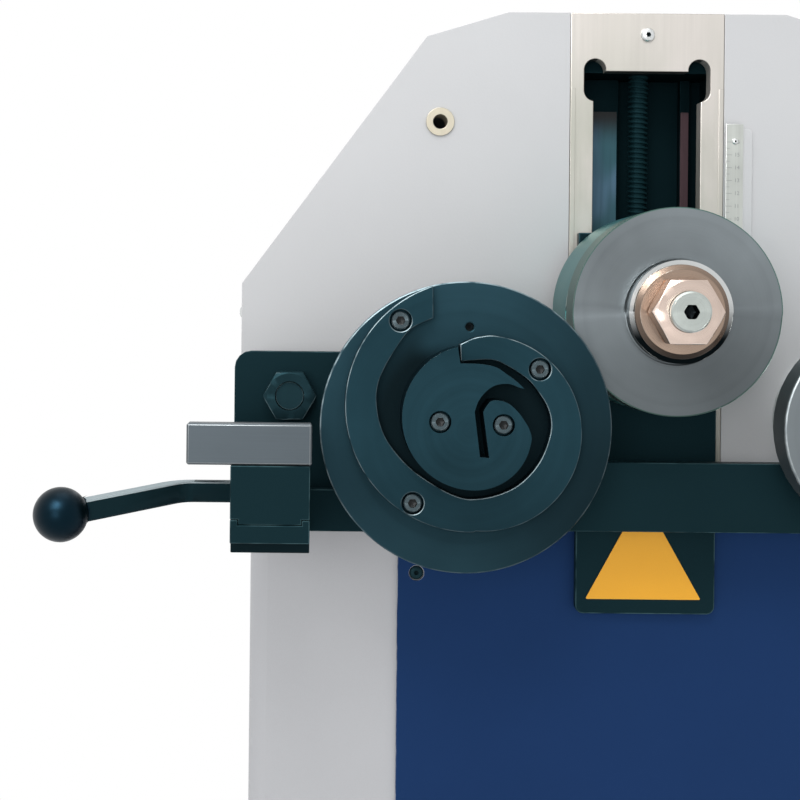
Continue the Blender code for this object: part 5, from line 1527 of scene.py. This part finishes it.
for index in range(count // 2 + 1):
    text = bpy.data.curves.new("number", "FONT")
    text.body = str(index)
    text.size = NUMBER_HEIGHT
    text.align_x = "CENTER"
    text.align_y = "CENTER"
    text.extrude = TICK_LIFT
    made = bpy.data.objects.new("number", text)
    mesh = bpy.data.meshes.new_from_object(made)
    bpy.data.objects.remove(made)
    shape = bmesh.new()
    shape.from_mesh(mesh)
    bmesh.ops.remove_doubles(shape, verts=shape.verts, dist=0.000001)
    height = ruler_low.z + SCALE_START + index * 2 * TICK_STEP
    place = Vector((ruler_low.x + NUMBER_INSET, ruler_low.y, height))
    shape.transform(Matrix.Translation(place) @ Matrix.Rotation(math.pi / 2, 4, "X"))
    set_down(f"scale_number_{index}", shape, ink, "frame")
button_screw("ruler_screw", (ruler_low.x + 0.0070, ruler_low.y, 1.1667), OUT_FRONT, 0.0024, "frame")

# %% [markdown]
# ## The sides and the back
#
# The machine is looked at from all round. Folded covers are screwed on, so the shroud, the hood and the
# rear panel get their screws, and the rear panel and the hood get louvres over the motor. Slots cut through
# the sheet would show its inside, so each louvre is a bead that is pressed out of it.

# %% Screws of the shroud and the hood
shroud_low, shroud_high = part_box("head_shroud")
SHROUD_EDGE = 0.012
for side, x, turn in (("left", shroud_low.x, OUT_LEFT), ("right", shroud_high.x, OUT_RIGHT)):
    for row, z in enumerate((0.91, 1.03)):
        for column, y in enumerate((shroud_low.y + SHROUD_EDGE, shroud_high.y - SHROUD_EDGE)):
            button_screw(f"shroud_screw_{side}_{row}_{column}", (x, y, z), turn, 0.0048, "frame")
for row, x in enumerate((-0.07, 0.07)):
    for column, y in enumerate((shroud_low.y + SHROUD_EDGE, shroud_high.y - SHROUD_EDGE)):
        button_screw(f"shroud_screw_top_{row}_{column}", (x, y, shroud_high.z), OUT_TOP, 0.0048, "frame")
hood_low, hood_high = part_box("drive_hood")
for side, x, turn in (("left", hood_low.x, OUT_LEFT), ("right", hood_high.x, OUT_RIGHT)):
    for row, z in enumerate((hood_low.z + 0.03, (hood_low.z + hood_high.z) / 2, hood_high.z - 0.03)):
        button_screw(f"hood_screw_{side}_{row}", (x, hood_low.y + SHROUD_EDGE, z), turn, 0.0042, "frame")


# %% Louvres
def louvre(name, middle, width):
    """A pressed louvre in a cover's back: a long bead, cut level below."""
    shape = bmesh.new()
    bmesh.ops.create_uvsphere(shape, u_segments=24, v_segments=12, radius=1.0)
    bmesh.ops.scale(shape, verts=shape.verts, vec=(width / 2, 0.0045, 0.0040))
    bmesh.ops.bisect_plane(
        shape, geom=shape.verts[:] + shape.edges[:] + shape.faces[:], plane_co=(0, -0.0015, 0),
        plane_no=(0, -1, 0), clear_outer=True,
    )
    bmesh.ops.holes_fill(shape, edges=[edge for edge in shape.edges if edge.is_boundary])
    shape.transform(Matrix.Translation(middle) @ OUT_BACK)
    return set_down(name, eased(shape, 0.0003), column_grey, "frame")


LOUVRE_PITCH = 0.016
LOUVRE_SINK = 0.0005
for name, cover, count, lowest, width in (
    ("rear_louvre", "rear_panel", 7, 0.62, 0.16), ("hood_louvre", "drive_hood", 5, 0.96, 0.10)
):
    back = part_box(cover)[1].y - LOUVRE_SINK
    for index in range(count):
        louvre(f"{name}_{index}", (0, back, lowest + index * LOUVRE_PITCH), width)
